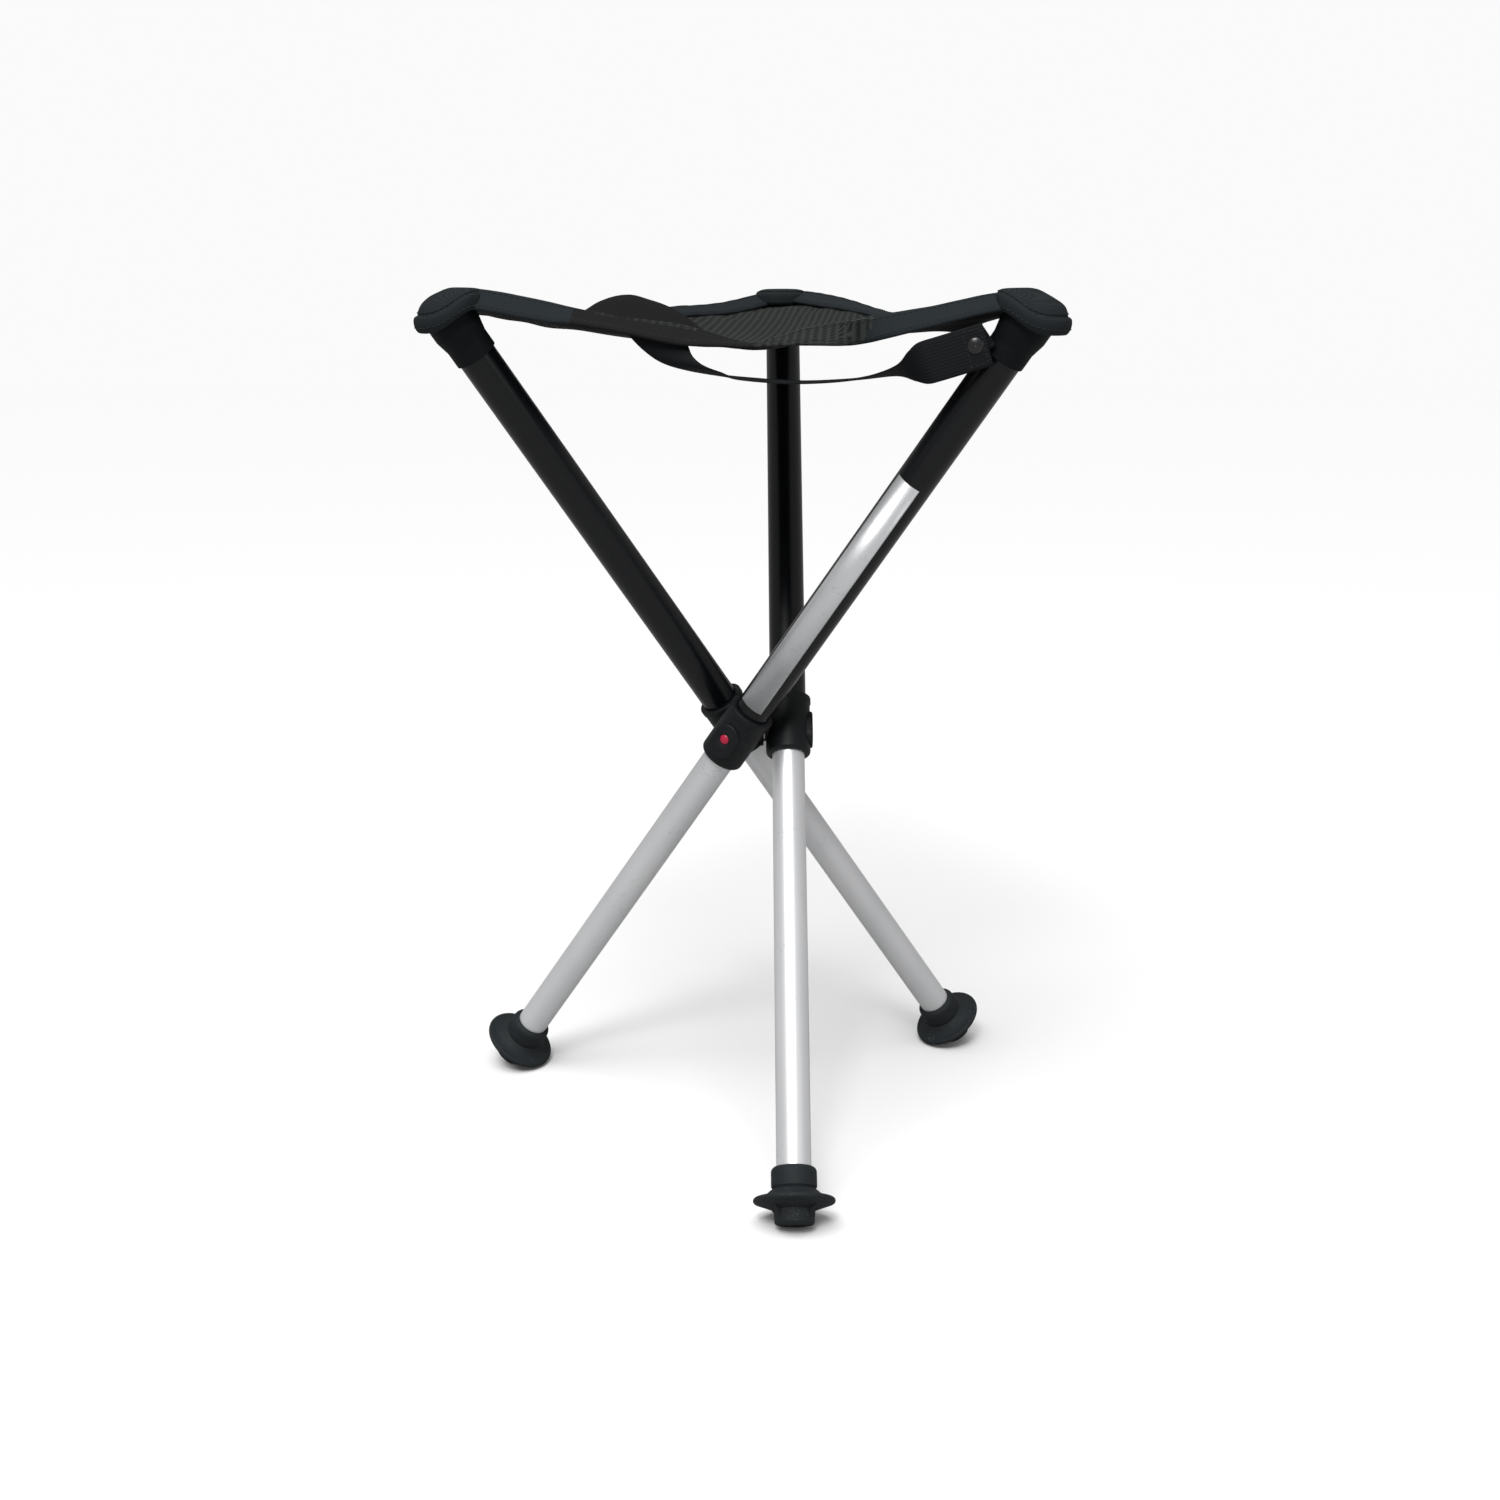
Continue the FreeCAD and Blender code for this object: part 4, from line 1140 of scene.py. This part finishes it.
def tab():
    """The tongue under the strap's end, with a row of stitches round its edge."""
    top = Vector((TAB_TOP[0], TAB_TOP[1], 0))
    end = Vector((TAB_END[0], TAB_END[1], 0))
    down = (end - top).normalized()
    side = Vector((down.y, -down.x, 0))
    half = TAB_WIDTH / 2

    def outline(r):
        line = [top + side * r + down * (half - r), end + side * r]
        for i in range(1, TAB_END_STEPS):
            a = math.pi * i / TAB_END_STEPS
            line.append(end + side * r * math.cos(a) + down * r * math.sin(a))
        line += [end - side * r, top - side * r + down * (half - r)]
        return line

    rim = outline(half)
    points = []
    for out in (TAB_OUT - TAB_THICKNESS / 2, TAB_OUT + TAB_THICKNESS / 2):
        points += [by_edge(p.x, out, p.y) for p in rim]
    n = len(rim)
    faces = [tuple(range(n)), tuple(range(n, 2 * n))]
    for i in range(n):
        k = (i + 1) % n
        faces.append((i, k, n + k, n + i))
    flat = [(p.x * MM, p.y * MM) for p in rim] * 2
    obj = place("tab", points, faces, TAB_CLOTH, flat)
    edge = obj.modifiers.new("Edge", "BEVEL")
    edge.width = TAB_ROUNDING * MM
    edge.segments = 2
    settle(obj)
    inner = outline(half - TAB_SEAM_INSIDE)
    row = [by_edge(p.x, TAB_OUT + TAB_THICKNESS / 2 + STITCH_OUT, p.y) for p in inner]
    sewing = stitch_rows("tab_stitches", [row])
    return obj, sewing


def box_stitch():
    """The square of stitches that holds the webbing on the tab."""
    out = STRAP_STATIONS[-1][0][1] + STRAP_THICKNESS / 2 + STITCH_OUT
    corners = []
    for a, b in BOX_CORNERS:
        p = Vector(BOX_MIDDLE) + Vector(BOX_ALONG) * a + Vector(BOX_ACROSS) * b
        corners.append(by_edge(p.x, out, p.y))
    return stitch_rows("strap_stitches", [corners])


def silver_strip():
    """A thin bare strip, wrapped round the front of the right outer tube."""
    m = leg_matrix("right")
    columns = STRIP_COLUMNS
    inner = TUBE_RADIUS + STRIP_GAP
    points = []
    flat = []
    for r in (inner, inner + STRIP_THICKNESS):
        for z in (STRIP_FROM, STRIP_TO):
            for j in range(columns):
                a = math.radians(STRIP_HALF_ANGLE * (2 * j / (columns - 1) - 1))
                points.append(m @ Vector((r * math.cos(a), r * math.sin(a), z)))
                flat.append((a * r * MM, z * MM))
    n = 2 * columns
    faces = grid(2, columns)
    faces += [tuple(k + n for k in face) for face in faces]
    ring = [*range(columns), *reversed(range(columns, n))]
    for i, a in enumerate(ring):
        b = ring[(i + 1) % len(ring)]
        faces.append((a, b, b + n, a + n))
    return place("silver_strip", points, faces, SILVER_STRIP, flat)


# Dress the nodes of the frame

NODE_MATERIALS = {
    "outer_tube": BLACK_TUBE,
    "inner_tube": SILVER_TUBE,
    "glide_bush": BUSH,
    "hub_sleeve": MOULDING,
    "release_button": BUTTON,
    "lock_spring": SPRING,
    "rubber_foot": RUBBER,
    "end_cap": CAP,
}


def paint(name, material):
    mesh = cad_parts[name].data
    mesh.materials.clear()
    mesh.materials.append(material)


def dress_nodes():
    for leg in LEG_TURNS:
        for part, material in NODE_MATERIALS.items():
            paint(leg + "_" + part, material)
    paint("hub_core", MOULDING)
    paint("pivot_screws", STEEL)
    paint("pivot_washers", STEEL)
    paint("strap_snap", SNAP)


def dress_seat():
    cloth = {leg: seat_sector(leg) for leg in LEG_TURNS}
    trim = {leg: [] for leg in LEG_TURNS}
    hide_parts("seat_mesh")
    for edge, first in EDGE_STARTS.items():
        for leg, start, end in ((first, -HEM_END, 0.0), (next_leg(first), 0.0, HEM_END)):
            hem, sewing = hem_half(edge, leg, start, end)
            trim[leg] += [hem, sewing]
            if leg == first:
                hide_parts(edge + "_binding")
    trim["right"].append(mesh_seam())
    for leg in LEG_TURNS:
        for piece in (cloth[leg], *trim[leg]):
            follow_leg(piece)
    for leg in LEG_TURNS:
        cover, sewing = hood(leg)
        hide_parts(leg + "_corner_pocket")
        for piece in (cover, sewing):
            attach(piece, "leg_" + leg)


def dress_strap():
    first, middle, last = STRAP_PARTS
    left = strap_part("strap_left", first, middle)
    right = strap_part("strap_right", middle, last)
    follow_leg(left)
    follow_leg(right)
    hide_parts("carry_strap")
    tongue, sewing = tab()
    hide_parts("strap_tab")
    for piece in (tongue, sewing, box_stitch(), silver_strip()):
        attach(piece, "leg_right")


# Camera, light and floor


def radians(turns):
    return [math.radians(turn) for turn in turns]


def set_camera():
    data = bpy.data.cameras.new("Camera")
    data.sensor_width = CAMERA_SENSOR
    data.lens = CAMERA_LENS
    data.clip_start = 0.01
    camera = add_to_scene("Camera", data)
    camera.location = Vector(CAMERA_PLACE) * MM
    camera.rotation_euler = radians(CAMERA_TURN)
    bpy.context.scene.camera = camera


def set_world():
    """A room that looks white, and gives less light than it shows."""
    world = bpy.data.worlds.new("Studio")
    world.use_nodes = True
    tree = world.node_tree
    seen = tree.nodes.new("ShaderNodeLightPath").outputs["Is Camera Ray"]
    strength = maths(tree, "MULTIPLY_ADD", seen, BACKDROP - AMBIENT, AMBIENT)
    tree.nodes["Background"].inputs["Color"].default_value = (1, 1, 1, 1)
    tree.links.new(strength, tree.nodes["Background"].inputs["Strength"])
    bpy.context.scene.world = world


def add_ceiling():
    data = bpy.data.lights.new("Ceiling", "SUN")
    data.energy = CEILING_STRENGTH
    data.angle = math.radians(CEILING_SPREAD)
    add_to_scene("Ceiling", data).rotation_euler = radians(CEILING_TURN)


def add_lamp(name, position, target, size, power):
    data = bpy.data.lights.new(name, "AREA")
    data.shape = "SQUARE"
    data.size = size
    data.energy = power
    lamp = add_to_scene(name, data)
    lamp.location = position
    lamp.rotation_euler = (Vector(target) - Vector(position)).to_track_quat("-Z", "Y").to_euler()


def lay_floor():
    """A floor that looks white, and throws less light back at the stool."""
    r = FLOOR_REACH
    mesh = bpy.data.meshes.new("Floor")
    mesh.from_pydata([(-r, -r, 0), (r, -r, 0), (r, r, 0), (-r, r, 0)], [], [(0, 1, 2, 3)])
    material, tree, shader = new_material("pale floor")
    seen = tree.nodes.new("ShaderNodeLightPath").outputs["Is Camera Ray"]
    tone = blend_colour(tree, seen, (*[FLOOR_REFLECTS] * 3, 1), (*[FLOOR_SEEN] * 3, 1))
    tree.links.new(tone, shader.inputs["Base Color"])
    shader.inputs["Roughness"].default_value = 0.9
    shader.inputs["Specular IOR Level"].default_value = 0.0
    mesh.materials.append(material)
    add_to_scene("Floor", mesh)


def set_studio():
    bpy.context.scene.view_settings.view_transform = "Standard"
    set_world()
    add_ceiling()
    for lamp in LAMPS:
        add_lamp(*lamp)
    lay_floor()


set_camera()
dress_nodes()
dress_seat()
dress_strap()
set_studio()
